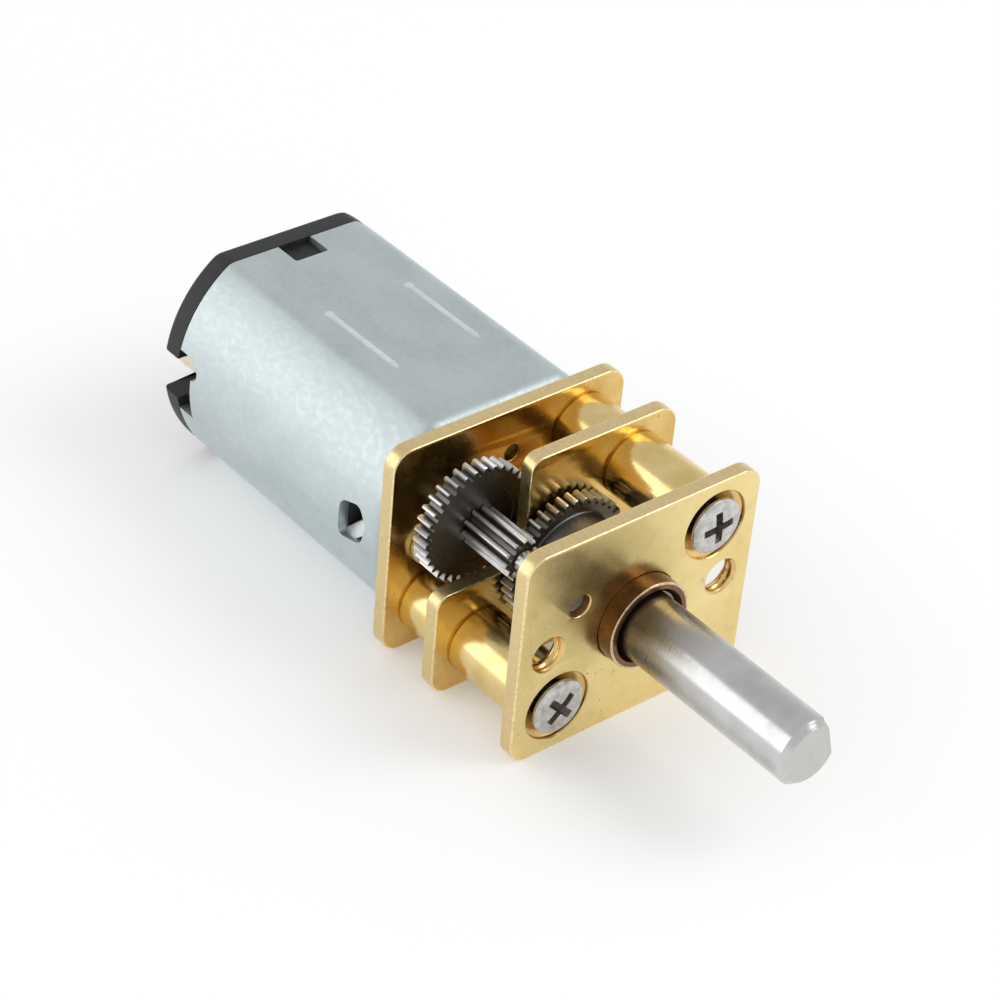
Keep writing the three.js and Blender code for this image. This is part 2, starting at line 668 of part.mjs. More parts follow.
// ---- rotor ----
// three T-shaped poles on a round hub
function coreOutline() {
  const shape = new THREE.Shape();
  const neck = POLE_NECK / 2;
  for (let pole = 0; pole < POLES; pole += 1) {
    const centre = 2 * Math.PI * pole / POLES;
    const atHub = Math.asin(neck / CORE_HUB_R);
    const atShoe = Math.asin(neck / POLE_SHOE_R);
    shape.absarc(0, 0, CORE_HUB_R, centre - atHub, centre - atHub, false);
    shape.absarc(0, 0, POLE_SHOE_R, centre - atShoe, centre - POLE_SHOE_HALF_ANGLE, true);
    shape.absarc(0, 0, CORE_R, centre - POLE_SHOE_HALF_ANGLE, centre + POLE_SHOE_HALF_ANGLE, false);
    shape.absarc(0, 0, POLE_SHOE_R, centre + POLE_SHOE_HALF_ANGLE, centre + atShoe, true);
    const next = centre + 2 * Math.PI / POLES;
    shape.absarc(0, 0, CORE_HUB_R, centre + atHub, next - atHub, false);
  }
  return shape;
}

const ROTOR_BORE_R = MOTOR_SHAFT_R + FIT;
const rotorBar = (x0, x1, r) => bar(x0, x1, r, 0, 0, SMALL_ROUND);
const rotorTube = ([x0, x1], r) => tube(x0, x1, ROTOR_BORE_R, r, 0, 0, SMALL_ROUND);

function armatureCore() {
  const bore = rotorBar(CORE_X[0] - OVER, CORE_X[1] + OVER, ROTOR_BORE_R);
  return cut(prism(coreOutline(), ...CORE_X, 6), bore);
}

function insulator(x0, x1) {
  let body = solid(bar(x0, x1, CORE_HUB_R));
  for (let pole = 0; pole < POLES; pole += 1) {
    const arm = block(x0, x1, MOTOR_SHAFT_R, POLE_SHOE_R - 0.1, -POLE_NECK / 2, POLE_NECK / 2);
    body = body.add(solid(arm.rotateX(2 * Math.PI * pole / POLES)));
  }
  return geometryOf(body.subtract(solid(rotorBar(x0 - OVER, x1 + OVER, ROTOR_BORE_R))));
}

// coil round one pole: a rounded rectangular ring, deep in the pole's direction
function winding(pole) {
  const innerU = (CORE_X[1] - CORE_X[0]) / 2 + INSULATOR + WINDING.gap;
  const innerV = POLE_NECK / 2 + WINDING.gap;
  const [u, v, r] = [innerU + WINDING.bulk, innerV + WINDING.bulk, WINDING.corner];
  const shape = roundedOutline([[-u, -v, r], [u, -v, r], [u, v, r], [-u, v, r]]);
  const hole = new THREE.Path();
  hole.moveTo(-innerU, -innerV);
  hole.lineTo(-innerU, innerV);
  hole.lineTo(innerU, innerV);
  hole.lineTo(innerU, -innerV);
  hole.closePath();
  shape.holes.push(hole);
  const geometry = new THREE.ExtrudeGeometry(shape, {
    depth: WINDING.depth,
    bevelEnabled: false,
    curveSegments: 3,
  });
  // drawn in X and Z, raised along Y, then swung to its pole
  geometry.applyMatrix4(new THREE.Matrix4().makeBasis(
    new THREE.Vector3(1, 0, 0),
    new THREE.Vector3(0, 0, -1),
    new THREE.Vector3(0, 1, 0),
  ));
  geometry.translate((CORE_X[0] + CORE_X[1]) / 2, WINDING.base, 0);
  return geometry.rotateX(2 * Math.PI * pole / POLES);
}

function commutatorSegment(index) {
  const centre = 2 * Math.PI * (index + 0.5) / POLES;
  const half = Math.PI / POLES - COMMUTATOR_SLOT;
  const [from, to] = [centre - half, centre + half];
  const shape = new THREE.Shape();
  shape.absarc(0, 0, COMMUTATOR_R, from, to, false);
  shape.absarc(0, 0, COMMUTATOR_HUB_R + FIT, to, from, true);
  shape.closePath();
  return prism(shape, ...COMMUTATOR_X);
}

function motorPinion() {
  const phase = IDLER_ANGLE + Math.PI / MOTOR_PINION_TEETH;
  const bore = rotorBar(MOTOR_PINION_X[0] - OVER, MOTOR_PINION_X[1] + OVER, ROTOR_BORE_R);
  return cut(gear(MOTOR_PINION_TEETH, phase, MOTOR_PINION_X), bore);
}

piece("motor_shaft", rotorBar(...MOTOR_SHAFT_X, MOTOR_SHAFT_R), STEEL);
piece("motor_pinion", motorPinion(), BRASS);
piece("armature_core", armatureCore(), CORE_STEEL);
piece("core_insulator_front", insulator(CORE_X[1] + FIT, CORE_X[1] + INSULATOR), WHITE_PLASTIC);
piece("core_insulator_rear", insulator(CORE_X[0] - INSULATOR, CORE_X[0] - FIT), WHITE_PLASTIC);
for (let pole = 0; pole < POLES; pole += 1) {
  piece(`winding_${pole + 1}`, winding(pole), COPPER_WIRE);
  piece(`commutator_segment_${pole + 1}`, commutatorSegment(pole), COPPER);
}
piece("commutator_hub", rotorTube(COMMUTATOR_X, COMMUTATOR_HUB_R), WHITE_PLASTIC);
piece("rotor_washer_front", rotorTube(WASHER_FRONT.x, WASHER_FRONT.r), WHITE_PLASTIC);
piece("rotor_washer_rear", rotorTube(WASHER_REAR.x, WASHER_REAR.r), WHITE_PLASTIC);

export default model;
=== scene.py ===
import math

import bmesh
import bpy
from mathutils import Matrix, Vector, geometry


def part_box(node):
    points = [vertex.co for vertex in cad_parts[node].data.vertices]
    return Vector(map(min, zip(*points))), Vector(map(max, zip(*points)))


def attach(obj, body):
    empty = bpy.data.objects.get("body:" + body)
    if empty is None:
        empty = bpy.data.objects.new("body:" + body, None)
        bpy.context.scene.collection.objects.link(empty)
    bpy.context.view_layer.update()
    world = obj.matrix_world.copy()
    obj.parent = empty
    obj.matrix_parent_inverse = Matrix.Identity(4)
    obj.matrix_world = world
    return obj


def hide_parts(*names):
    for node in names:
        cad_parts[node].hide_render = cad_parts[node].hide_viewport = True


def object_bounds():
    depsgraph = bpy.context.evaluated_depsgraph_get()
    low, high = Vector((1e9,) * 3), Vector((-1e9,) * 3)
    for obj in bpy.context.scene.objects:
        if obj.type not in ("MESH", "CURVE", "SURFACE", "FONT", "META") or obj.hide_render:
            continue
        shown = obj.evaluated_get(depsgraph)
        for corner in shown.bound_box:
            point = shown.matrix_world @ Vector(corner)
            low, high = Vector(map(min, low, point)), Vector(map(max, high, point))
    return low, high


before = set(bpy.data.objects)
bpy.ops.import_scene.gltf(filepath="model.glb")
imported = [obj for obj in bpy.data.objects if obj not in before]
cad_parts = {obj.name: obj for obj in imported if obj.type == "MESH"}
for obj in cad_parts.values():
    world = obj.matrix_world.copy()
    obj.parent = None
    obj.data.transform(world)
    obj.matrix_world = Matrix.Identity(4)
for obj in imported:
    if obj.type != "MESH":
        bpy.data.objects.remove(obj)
cad_low, cad_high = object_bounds()

# Geared DC motor: the visible model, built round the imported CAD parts.
# Shapes are drawn in millimetres in the frame's own axes (+X out along the shaft, +Z up),
# and settle() scales them to metres when it puts a piece on its body.
MM = 0.001
# material slots on every new mesh, so that the faces a cutter leaves keep its index
FACE_KINDS = 4


# ---- sizes, from the frame ----
def span(node):
    """A CAD node's lowest and highest corners, in millimetres."""
    low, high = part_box(node)
    return low / MM, high / MM


def ends(node):
    """Where a CAD node starts and ends along X, in millimetres."""
    low, high = span(node)
    return low.x, high.x


def axis_of(node):
    """Where a round node's own axis crosses the YZ plane, in millimetres."""
    low, high = span(node)
    return (low.y + high.y) / 2, (low.z + high.z) / 2


def radius_of(node):
    low, high = span(node)
    return max(high.y - low.y, high.z - low.z) / 2


SIDES = (("left", -1), ("right", 1))
HALF_WIDTH = span("motor_can")[1].y
HALF_HEIGHT = span("motor_can")[1].z
IDLER_Y, IDLER_Z = axis_of("idler_arbor")
IDLER_ANGLE = math.atan2(IDLER_Z, IDLER_Y)
SHAFT_R = radius_of("output_shaft")
BUSH_R = radius_of("front_bush")
SPACER_R = radius_of("long_spacer_left")
SCREW_HEAD_R = radius_of("gearbox_screw_left")
MOTOR_SCREW_HEAD_R = 0.9
MOTOR_SCREW_R = 0.5
MOTOR_SCREW_Y = 4.0
GEARBOX_SCREW_R = 0.7
JOURNAL_R = 0.8
ARBOR_PIN_R = 0.4
COLLAR_X = -13.45
OUTPUT_WHEEL_FACE = -14.15
BEARING_NOSE_R = 1.5
FIT = 0.01
RUNNING_FIT = 0.03
CAP_BOSS_R = 1.9
CAP_BOSS_END = -33.0
CAP_SEAT_R = 1.26
CAP_SEAT_END = -32.0
CAP_RIM = 1.1
FRONT_BACK, FRONT_FACE = ends("front_plate")
MIDDLE_BACK, MIDDLE_FACE = ends("middle_plate")
REAR_BACK, REAR_FACE = ends("rear_plate")
CAN_BACK, CAN_FRONT = ends("motor_can")

# gear data
MODULE = 0.15
PRESSURE_ANGLE = math.radians(20)
TOOTH_SHARE = 0.45
TOOTH_RING = 2.4 * MODULE
IDLER_GEAR_TEETH = 34
IDLER_PINION_TEETH = 10
OUTPUT_GEAR_TEETH = 38
MOTOR_PINION_TEETH = 14

# plates
PLATE_CORNER = 0.95
PLATE_EASE = 0.07
SCREW_CLEARANCE_R = 0.8
COUNTERSINK_R = 1.575
COUNTERSINK_DEPTH = 0.5
MOUNT_HOLE_Y = 4.5
MOUNT_HOLE_R = 0.8
THREAD_PITCH = 0.35
THREAD_DEPTH = 0.09
THREAD_FADE = 0.12
MOUTH_FLARE = 0.06
MOUTH_DEPTH = 0.08
MIDDLE_CUT = (-1.65, 0.0, 0.6)
SPARE_HOLE = (0.1, 2.85, 0.39)  # y, z, radius
SMALL_EASE = 0.04

# motor can
CAN_WALL = 0.5
CAN_FILLET = 0.6
CAN_LIP = 0.06
CAN_BLEND = 140
CAN_STEPS = 192
KEY_HALF = 0.85
KEY_LENGTH = 1.4
SLOT_HALF = 1.5
SLOT_LENGTH = 1.05
DIMPLE_R = 0.38
DIMPLE_Z = 0.9
GROOVE_Y = 2.1
GROOVE_X = (-27.9, -23.2)
GROOVE_HALF = 0.145
GROOVE_DEPTH = 0.055
LANCE_X = -20.9
LANCE_Z = 0.12


# ---- mesh helpers ----
def polar(radius, angle, u=0.0, v=0.0):
    """Point at that radius and angle round (u, v)."""
    return u + radius * math.cos(angle), v + radius * math.sin(angle)


def circle(y, z, radius, steps):
    return [polar(radius, 2 * math.pi * i / steps, y, z) for i in range(steps)]


def filleted(corners, steps=6):
    """Outline through (u, v, radius) corners, each rounded by its own arc."""
    points = []
    for i, (u, v, radius) in enumerate(corners):
        if radius <= 0:
            points.append((u, v))
            continue
        corner = Vector((u, v))
        back = (Vector(corners[i - 1][:2]) - corner).normalized()
        on = (Vector(corners[(i + 1) % len(corners)][:2]) - corner).normalized()
        half = back.angle(on) / 2
        reach = radius / math.tan(half)
        centre = corner + (back + on).normalized() * radius / math.sin(half)
        start, end = corner + back * reach - centre, corner + on * reach - centre
        first = math.atan2(start.y, start.x)
        turn = (math.atan2(end.y, end.x) - first + math.pi) % (2 * math.pi) - math.pi
        for k in range(steps + 1):
            points.append(polar(radius, first + turn * k / steps, centre.x, centre.y))
    return points


def inset(points, distance):
    """Anticlockwise outline moved inwards by that distance."""
    moved = []
    for i, (u, v) in enumerate(points):
        before, after = points[i - 1], points[(i + 1) % len(points)]
        along = Vector((u - before[0], v - before[1])).normalized()
        along += Vector((after[0] - u, after[1] - v)).normalized()
        along.normalize()
        moved.append((u - along.y * distance, v + along.x * distance))
    return moved


def ring(bm, x, points):
    return [bm.verts.new((x, y, z)) for y, z in points]


def bridge(bm, first, second, index=0):
    """Joins two rings of vertices with faces. A ring of one vertex makes a fan."""
    count = max(len(first), len(second))
    for i in range(count):
        j = (i + 1) % count
        a = first if len(first) == 1 else [first[i], first[j]]
        b = second if len(second) == 1 else [second[j], second[i]]
        bm.faces.new([*a, *b]).material_index = index


def bridge_all(bm, rings, index=0, closed=False):
    for first, second in zip(rings, rings[1:]):
        bridge(bm, first, second, index)
    if closed:
        bridge(bm, rings[-1], rings[0], index)


def fill(bm, outer, inner=(), index=0):
    """Flat face inside one ring and round the others."""
    corners = [*outer, *(v for loop in inner for v in loop)]
    loops = [[v.co for v in loop] for loop in (outer, *inner)]
    for triangle in geometry.tessellate_polygon(loops):
        bm.faces.new([corners[i] for i in triangle]).material_index = index


def lathe(bm, profile, y=0.0, z=0.0, steps=96, closed=False, index=0):
    """Turns (x, radius) points about a line along X. Points on the line become one vertex."""
    rings = []
    for x, radius in profile:
        on_axis = radius < 1e-6
        rings.append(ring(bm, x, [(y, z)] if on_axis else circle(y, z, radius, steps)))
    bridge_all(bm, rings, index, closed)


def quarter(ease, steps=4):
    """(inset, depth) pairs of a rounded edge, from the face round to the wall."""
    angles = [math.pi / 2 * k / steps for k in range(steps + 1)]
    return [(ease * (1 - math.sin(a)), ease * (1 - math.cos(a))) for a in angles]


def eased(start, end, ease):
    """(x, inset) stations of a wall from start to end, with both its ends rounded."""
    way = 1 if end > start else -1
    edge = quarter(ease)
    stations = [(start + way * depth, inward) for inward, depth in edge]
    return stations + [(end - way * depth, inward) for inward, depth in reversed(edge)]


def capped(bm, rings, index=0):
    """Closed solid through the rings, with a flat face at each end."""
    bridge_all(bm, rings, index)
    fill(bm, rings[0], index=index)
    fill(bm, rings[-1], index=index)


def prism(bm, points, x0, x1, ease=0.0):
    """Outline pulled from x0 to x1, with eased edges if ease isn't 0."""
    stations = eased(x0, x1, ease) if ease else [(x0, 0.0), (x1, 0.0)]
    capped(bm, [ring(bm, x, inset(points, inward)) for x, inward in stations])


def build(name, make):
    """New object in millimetres, whose mesh is drawn by make(bm)."""
    bm = bmesh.new()
    make(bm)
    bmesh.ops.recalc_face_normals(bm, faces=bm.faces)
    mesh = bpy.data.meshes.new(name)
    for _ in range(FACE_KINDS):
        mesh.materials.append(None)
    bm.to_mesh(mesh)
    bm.free()
    obj = bpy.data.objects.new(name, mesh)
    bpy.context.scene.collection.objects.link(obj)
    return obj


def turn_mesh(obj, matrix):
    obj.data.transform(matrix)
    if matrix.determinant() < 0:
        obj.data.flip_normals()
    return obj


def bake_modifiers(obj):
    """The object's mesh becomes what its modifiers make of it."""
    evaluated = obj.evaluated_get(bpy.context.evaluated_depsgraph_get())
    mesh = bpy.data.meshes.new_from_object(evaluated)
    obj.modifiers.clear()
    obj.data = mesh


def carve(obj, cutters, operation="DIFFERENCE"):
    """Cuts the cutters out of the object, or joins them to it, and removes them."""
    for cutter in cutters:
        step = obj.modifiers.new("carve", "BOOLEAN")
        step.operation = operation
        step.solver = "EXACT"
        step.material_mode = "INDEX"
        step.object = cutter
    bake_modifiers(obj)
    for cutter in cutters:
        bpy.data.objects.remove(cutter)
    return obj


def ease_edges(obj, width, segments=2, angle=40):
    """Rounds every edge sharper than the angle."""
    step = obj.modifiers.new("ease", "BEVEL")
    step.width = width
    step.segments = segments
    step.limit_method = "ANGLE"
    step.angle_limit = math.radians(angle)
    step.miter_outer = "MITER_ARC"
    bake_modifiers(obj)
    return obj


def settle(obj, node, body, slot, *materials, sharp=38):
    """Scales the object to metres and puts it on its body in place of the CAD node."""
    mesh = obj.data
    mesh.transform(Matrix.Scale(MM, 4))
    for kind in range(FACE_KINDS):
        mesh.materials[kind] = materials[min(kind, len(materials) - 1)]
    mesh.shade_smooth()
    mesh.set_sharp_from_angle(angle=math.radians(sharp))
    normals = obj.modifiers.new("normals", "WEIGHTED_NORMAL")
    normals.keep_sharp = True
    normals.weight = 85
    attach(obj, body)
    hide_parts(node)
    return obj


def make(node, draw, body, slot, *materials, sharp=38):
    """Builds the piece that stands in for a CAD node, and settles it."""
    settle(build(f"{node}_fine", draw), node, body, slot, *materials, sharp=sharp)


# ---- material helper ----
class Finish:
    """A material under construction. Positions are object coordinates in millimetres."""

    def __init__(self, name, metallic=1.0, roughness=0.4):
        self.material = bpy.data.materials.new(name)
        self.material.use_nodes = True
        self.tree = self.material.node_tree
        self.shader = self.tree.nodes["Principled BSDF"]
        self.shader.inputs["Metallic"].default_value = metallic
        self.shader.inputs["Roughness"].default_value = roughness
        coordinates = self.add("ShaderNodeTexCoord")
        scaled = self.add("ShaderNodeVectorMath", operation="SCALE")
        scaled.inputs["Scale"].default_value = 1 / MM
        self.link(coordinates.outputs["Object"], scaled.inputs[0])
        self.place = scaled.outputs[0]

    def add(self, kind, **settings):
        node = self.tree.nodes.new(kind)
        for key, value in settings.items():
            setattr(node, key, value)
        return node

    def link(self, source, target):
        self.tree.links.new(source, target)

    def put(self, target, value):
        """Links a socket, or sets a plain value."""
        if isinstance(value, bpy.types.NodeSocket):
            self.link(value, target)
        else:
            target.default_value = value

    def vector(self, operation, first, second):
        node = self.add("ShaderNodeVectorMath", operation=operation)
        self.put(node.inputs[0], first)
        self.put(node.inputs[1], second)
        return node.outputs["Value"] if operation == "LENGTH" else node.outputs["Vector"]

    def math(self, operation, first, second=0.0):
        node = self.add("ShaderNodeMath", operation=operation)
        self.put(node.inputs[0], first)
        self.put(node.inputs[1], second)
        return node.outputs[0]

    def noise(self, size, stretch=(1, 1, 1), detail=3.0, place=None):
        """Noise with features of that size, drawn out along each axis by its stretch."""
        place = self.vector("DIVIDE", place or self.place, [size * s for s in stretch])
        node = self.add("ShaderNodeTexNoise")
        node.inputs["Scale"].default_value = 1.0
        node.inputs["Detail"].default_value = detail
        self.link(place, node.inputs["Vector"])
        return node.outputs[0]

    def radius(self, y, z):
        """Distance from the line along X through that point."""
        from_line = self.vector("SUBTRACT", self.place, (0, y, z))
        flat = self.vector("MULTIPLY", from_line, (0, 1, 1))
        return self.vector("LENGTH", flat, (0, 0, 0))

    def rings(self, y, z, size):
        """Noise that changes only with the distance from a line along X."""
        apart = self.add("ShaderNodeCombineXYZ")
        self.link(self.radius(y, z), apart.inputs[0])
        return self.noise(size, place=apart.outputs[0])

    def spread(self, value, low, high, to_low=0.0, to_high=1.0):
        node = self.add("ShaderNodeMapRange")
        for i, number in enumerate((value, low, high, to_low, to_high)):
            self.put(node.inputs[i], number)
        return node.outputs[0]

    def blend(self, share, first, second):
        """Colour that goes from the first to the second with the share."""
        node = self.add("ShaderNodeMix", data_type="RGBA")
        self.put(node.inputs[0], share)
        self.put(node.inputs[6], first if not isinstance(first, tuple) else (*first, 1))
        self.put(node.inputs[7], second if not isinstance(second, tuple) else (*second, 1))
        return node.outputs[2]

    def colour(self, value):
        self.put(self.shader.inputs["Base Color"], value)

    def roughness(self, value):
        self.put(self.shader.inputs["Roughness"], value)

    def bump(self, *layers):
        """Adds (height, depth in millimetres) layers to the surface."""
        normal = None
        for height, depth in layers:
            node = self.add("ShaderNodeBump")
            node.inputs["Distance"].default_value = depth * MM
            self.link(height, node.inputs["Height"])
            if normal is not None:
                self.link(normal, node.inputs["Normal"])
            normal = node.outputs["Normal"]
        self.link(normal, self.shader.inputs["Normal"])

    def coat(self, tint, sheen, smooth, rough, *layers, low=0.3, high=0.7):
        """Gives the tint, a roughness that follows the sheen noise, and the bump layers."""
        self.colour(tint)
        self.roughness(self.spread(sheen, low, high, smooth, rough))
        self.bump(*layers)
        return self.material


# ---- materials ----
def plate_face_material(name, pale, deep, smooth, rough, tarnish=0.0):
    """Rolled and polished sheet brass: cloudy tint, fine grain, a few dark specks, and a painted dark
    reflection round one point.
    """
    f = Finish(name)
    cloud = f.noise(2.4, detail=4)
    patches = f.noise(0.7, detail=4)
    tint = f.blend(f.spread(cloud, 0.35, 0.68), pale, deep)
    tint = f.blend(f.math("MULTIPLY", f.spread(patches, 0.55, 0.75), 0.22), tint, (0.50, 0.36, 0.13))
    # painted reflection: a dark, noisy patch round y -2.4, z 2.6 on the face
    blotch = f.math("ADD", f.radius(-2.4, 2.6), f.math("MULTIPLY", f.noise(1.6, detail=4), 2.2))
    tint = f.blend(f.math("MULTIPLY", f.spread(blotch, 5.9, 2.0), tarnish), tint, (0.27, 0.20, 0.07))
    specks = f.spread(f.noise(0.2, detail=1), 0.765, 0.80)
    tint = f.blend(specks, tint, (0.12, 0.07, 0.03))
    layers = (f.noise(0.07, detail=2), 0.0012), (f.noise(0.6), 0.006)
    return f.coat(tint, f.math("ADD", cloud, patches), smooth, rough, *layers, low=0.75, high=1.3)


def grainy_material(name, tints, share, sheen, depth, *noises, metallic=1.0):
    """Up to three (size, stretch, detail) noises: for the tint, the roughness and the bump.

    The last one stands in for those that aren't given."""
    f = Finish(name, metallic=metallic)
    cloud, gloss, height = (f.noise(*noises[min(k, len(noises) - 1)]) for k in range(3))
    tint = f.blend(f.spread(cloud, *share) if share else cloud, *tints)
    return f.coat(tint, gloss, *sheen, (height, depth))


def plate_wall_material():
    """Sheared edge of the sheet: grainy, drawn out through the thickness."""
    f = Finish("plate_sheared_wall")
    streak = f.noise(0.06, stretch=(5, 1, 1), detail=2)
    tint = f.blend(f.spread(streak, 0.35, 0.7), (0.79, 0.635, 0.33), (0.68, 0.52, 0.25))
    return f.coat(tint, f.noise(0.8), 0.26, 0.40, (streak, 0.0015), (f.noise(0.25, detail=2), 0.008))


def turned_brass_material():
    """Polished turned brass with faint rings."""
    f = Finish("turned_brass")
    marks = f.noise(0.05, stretch=(1, 40, 40), detail=2)
    cloud = f.noise(1.1)
    tint = f.blend(f.spread(cloud, 0.35, 0.7), (0.81, 0.64, 0.30), (0.72, 0.535, 0.21))
    layers = (marks, 0.002), (f.noise(0.3), 0.003)
    return f.coat(tint, f.math("ADD", marks, cloud), 0.14, 0.27, *layers, low=0.7, high=1.3)


def bronze_material():
    """Sintered bearing bronze: copper-coloured with tiny pores."""
    f = Finish("sintered_bronze")
    grain = f.noise(0.05, detail=1)
    cloud = f.noise(0.9)
    tint = f.blend(f.spread(cloud, 0.3, 0.7), (0.26, 0.135, 0.06), (0.12, 0.062, 0.03))
    tint = f.blend(f.spread(grain, 0.66, 0.74), tint, (0.22, 0.10, 0.05))
    return f.coat(tint, cloud, 0.20, 0.32, (grain, 0.003), (f.noise(0.03, stretch=(1, 30, 30)), 0.002))


def shaft_material():
    """Ground steel: fine rings and cross scratches, with painted brown shade near the bush."""
    f = Finish("shaft_steel")
    rings = f.noise(0.04, stretch=(1, 9, 9), detail=3)
    scratches = f.noise(0.10, stretch=(0.6, 4, 4), detail=4)
    haze = f.noise(1.3, detail=4)
    along = f.add("ShaderNodeSeparateXYZ")
    f.link(f.place, along.inputs[0])
    edge = f.math("ADD", along.outputs[0], f.math("MULTIPLY", f.math("SUBTRACT", haze, 0.5), 1.6))
    # painted shade: browner and darker towards the bush, with a noisy edge
    near_bush = f.spread(edge, -5.2, -8.4)
    steel = f.blend(f.spread(haze, 0.35, 0.7), (0.60, 0.60, 0.595), (0.50, 0.495, 0.485))
    f.colour(f.blend(f.math("MULTIPLY", near_bush, 0.9), steel, (0.20, 0.16, 0.12)))
    sheen = f.spread(f.math("ADD", scratches, haze), 0.75, 1.3, 0.15, 0.27)
    f.roughness(f.math("ADD", sheen, f.math("MULTIPLY", near_bush, 0.05)))
    f.bump((rings, 0.002), (scratches, 0.005))
    return f.material


def gear_face_material(name, y, z):
    """Dark, oiled, turned gear face with concentric tool marks."""
    f = Finish(name)
    marks = f.rings(y, z, 0.035)
    cloud = f.noise(1.2, detail=4)
    shade = f.math("MULTIPLY", f.rings(y, z, 0.4), cloud)
    tint = f.blend(shade, (0.12, 0.112, 0.105), (0.25, 0.235, 0.22))
    layers = (marks, 0.0035), (f.noise(0.1), 0.002)
    return f.coat(tint, f.math("ADD", marks, cloud), 0.32, 0.48, *layers, low=0.7, high=1.3)


def tooth_material(name, y, z, teeth, bright=(0.69, 0.685, 0.68), dark=(0.17, 0.16, 0.15)):
    """Cut teeth: painted highlight at the tips, painted shade down in the gaps."""
    f = Finish(name)
    pitch_r = MODULE * teeth / 2
    marks = f.noise(0.03, stretch=(30, 1, 1), detail=2)
    # painted light by radius: dark at the roots, bright at the tips, varied by noise
    height = f.spread(f.radius(y, z), pitch_r - 1.1 * MODULE, pitch_r + 0.9 * MODULE)
    clean = f.math("MULTIPLY", height, f.spread(f.noise(0.35), 0.75, 0.35, 0.65, 1.0))
    return f.coat(f.blend(clean, dark, bright), marks, 0.26, 0.42, (marks, 0.003))


def can_material():
    """Zinc-plated drawn steel: pale blue-grey, satin, mottled like fine spangle."""
    f = Finish("zinc_plated_can")
    cloud = f.noise(1.8, stretch=(1.5, 1, 1), detail=5)
    spangle = f.noise(0.24, stretch=(1.4, 1, 1), detail=5)
    base = f.blend(f.spread(cloud, 0.32, 0.7), (0.575, 0.64, 0.645), (0.50, 0.565, 0.575))
    pale = f.math("MULTIPLY", f.spread(spangle, 0.48, 0.72), 0.35)
    tint = f.blend(pale, base, (0.66, 0.705, 0.70))
    layers = (spangle, 0.004), (f.noise(0.1), 0.002)
    return f.coat(tint, f.math("ADD", cloud, spangle), 0.56, 0.46, *layers, low=0.75, high=1.3)


def black_plastic_material():
    """Moulded black plastic, semi-matt, a little dusty."""
    f = Finish("black_plastic", metallic=0.0)
    dust = f.noise(0.5, detail=5)
    tint = f.blend(f.spread(dust, 0.4, 0.75), (0.016, 0.017, 0.017), (0.032, 0.034, 0.033))
    f.shader.inputs["Specular IOR Level"].default_value = 0.35
    return f.coat(tint, dust, 0.45, 0.62, (f.noise(0.06, detail=2), 0.004), (dust, 0.01))


EVEN = (1, 1, 1)
STEEL_NOISES = ((0.35, EVEN, 4), (0.12,), (0.06,))
SHEETS = (0.12, (1, 200, 200), 0)
# the front plate's outer face, with the painted dark reflection at its upper left
OUTER_FACE = plate_face_material(
    "plate_outer_face", (0.88, 0.72, 0.335), (0.83, 0.655, 0.275), 0.22, 0.36, tarnish=0.75)
# middle and rear plates: the same brass, painted deeper orange and darker as shade between the plates
INNER_FACE = plate_face_material(
    "plate_inner_face_painted_shade", (0.82, 0.585, 0.215), (0.66, 0.41, 0.12), 0.17, 0.32)
# eased edge of the sheet, rubbed bright, and drilled brass: browner, with fine turning marks
RUBBED_EDGE = grainy_material(
    "plate_rubbed_edge", ((0.92, 0.76, 0.42), (0.74, 0.53, 0.24)), (0.4, 0.75),
    (0.16, 0.34), 0.003, (0.12, EVEN, 2))
HOLE_WALL = grainy_material(
    "plate_hole", ((0.82, 0.60, 0.27), (0.70, 0.46, 0.18)), None,
    (0.16, 0.30), 0.002, (0.4,), (0.03, (1, 20, 20), 1))
PLATE_EDGES = (plate_wall_material(), RUBBED_EDGE, HOLE_WALL)
FACE, WALL, EDGE, HOLE = range(4)
TURNED_BRASS = turned_brass_material()
BRONZE = bronze_material()
# painted shade for the bush's bore and mouth, and a painted highlight for its rounded rim
OILY_BRONZE = grainy_material(
    "bush_mouth_painted_shade", ((0.10, 0.065, 0.045), (0.035, 0.024, 0.02)), None,
    (0.28, 0.5), 0.006, (0.25,), metallic=0.6)
WORN_BRONZE = grainy_material(
    "bush_rim_painted_highlight", ((0.76, 0.62, 0.47), (0.52, 0.37, 0.23)), (0.35, 0.7),
    (0.2, 0.36), 0.006, (0.2,))
SHAFT_STEEL = shaft_material()
SHAFT_END = grainy_material(
    "shaft_end", ((0.60, 0.62, 0.59), (0.53, 0.545, 0.52)), None,
    (0.42, 0.56), 0.002, (0.6,), (0.05,))
# plated or pickled steel with light handling marks
STEEL = grainy_material(
    "bright_steel", ((0.64, 0.64, 0.62), (0.43, 0.42, 0.39)), (0.35, 0.72),
    (0.22, 0.42), 0.003, *STEEL_NOISES)
PIN_STEEL = grainy_material(
    "pin_steel", ((0.66, 0.65, 0.64), (0.40, 0.38, 0.36)), (0.35, 0.72),
    (0.22, 0.42), 0.003, *STEEL_NOISES)
# painted shade for the inside of a driver recess and for the pin end down in its hole
RECESS = grainy_material(
    "recess_painted_shade", ((0.17, 0.145, 0.12), (0.08, 0.068, 0.055)), (0.35, 0.7),
    (0.35, 0.6), 0.01, (0.15,), metallic=0.3)
CAN_ZINC = can_material()
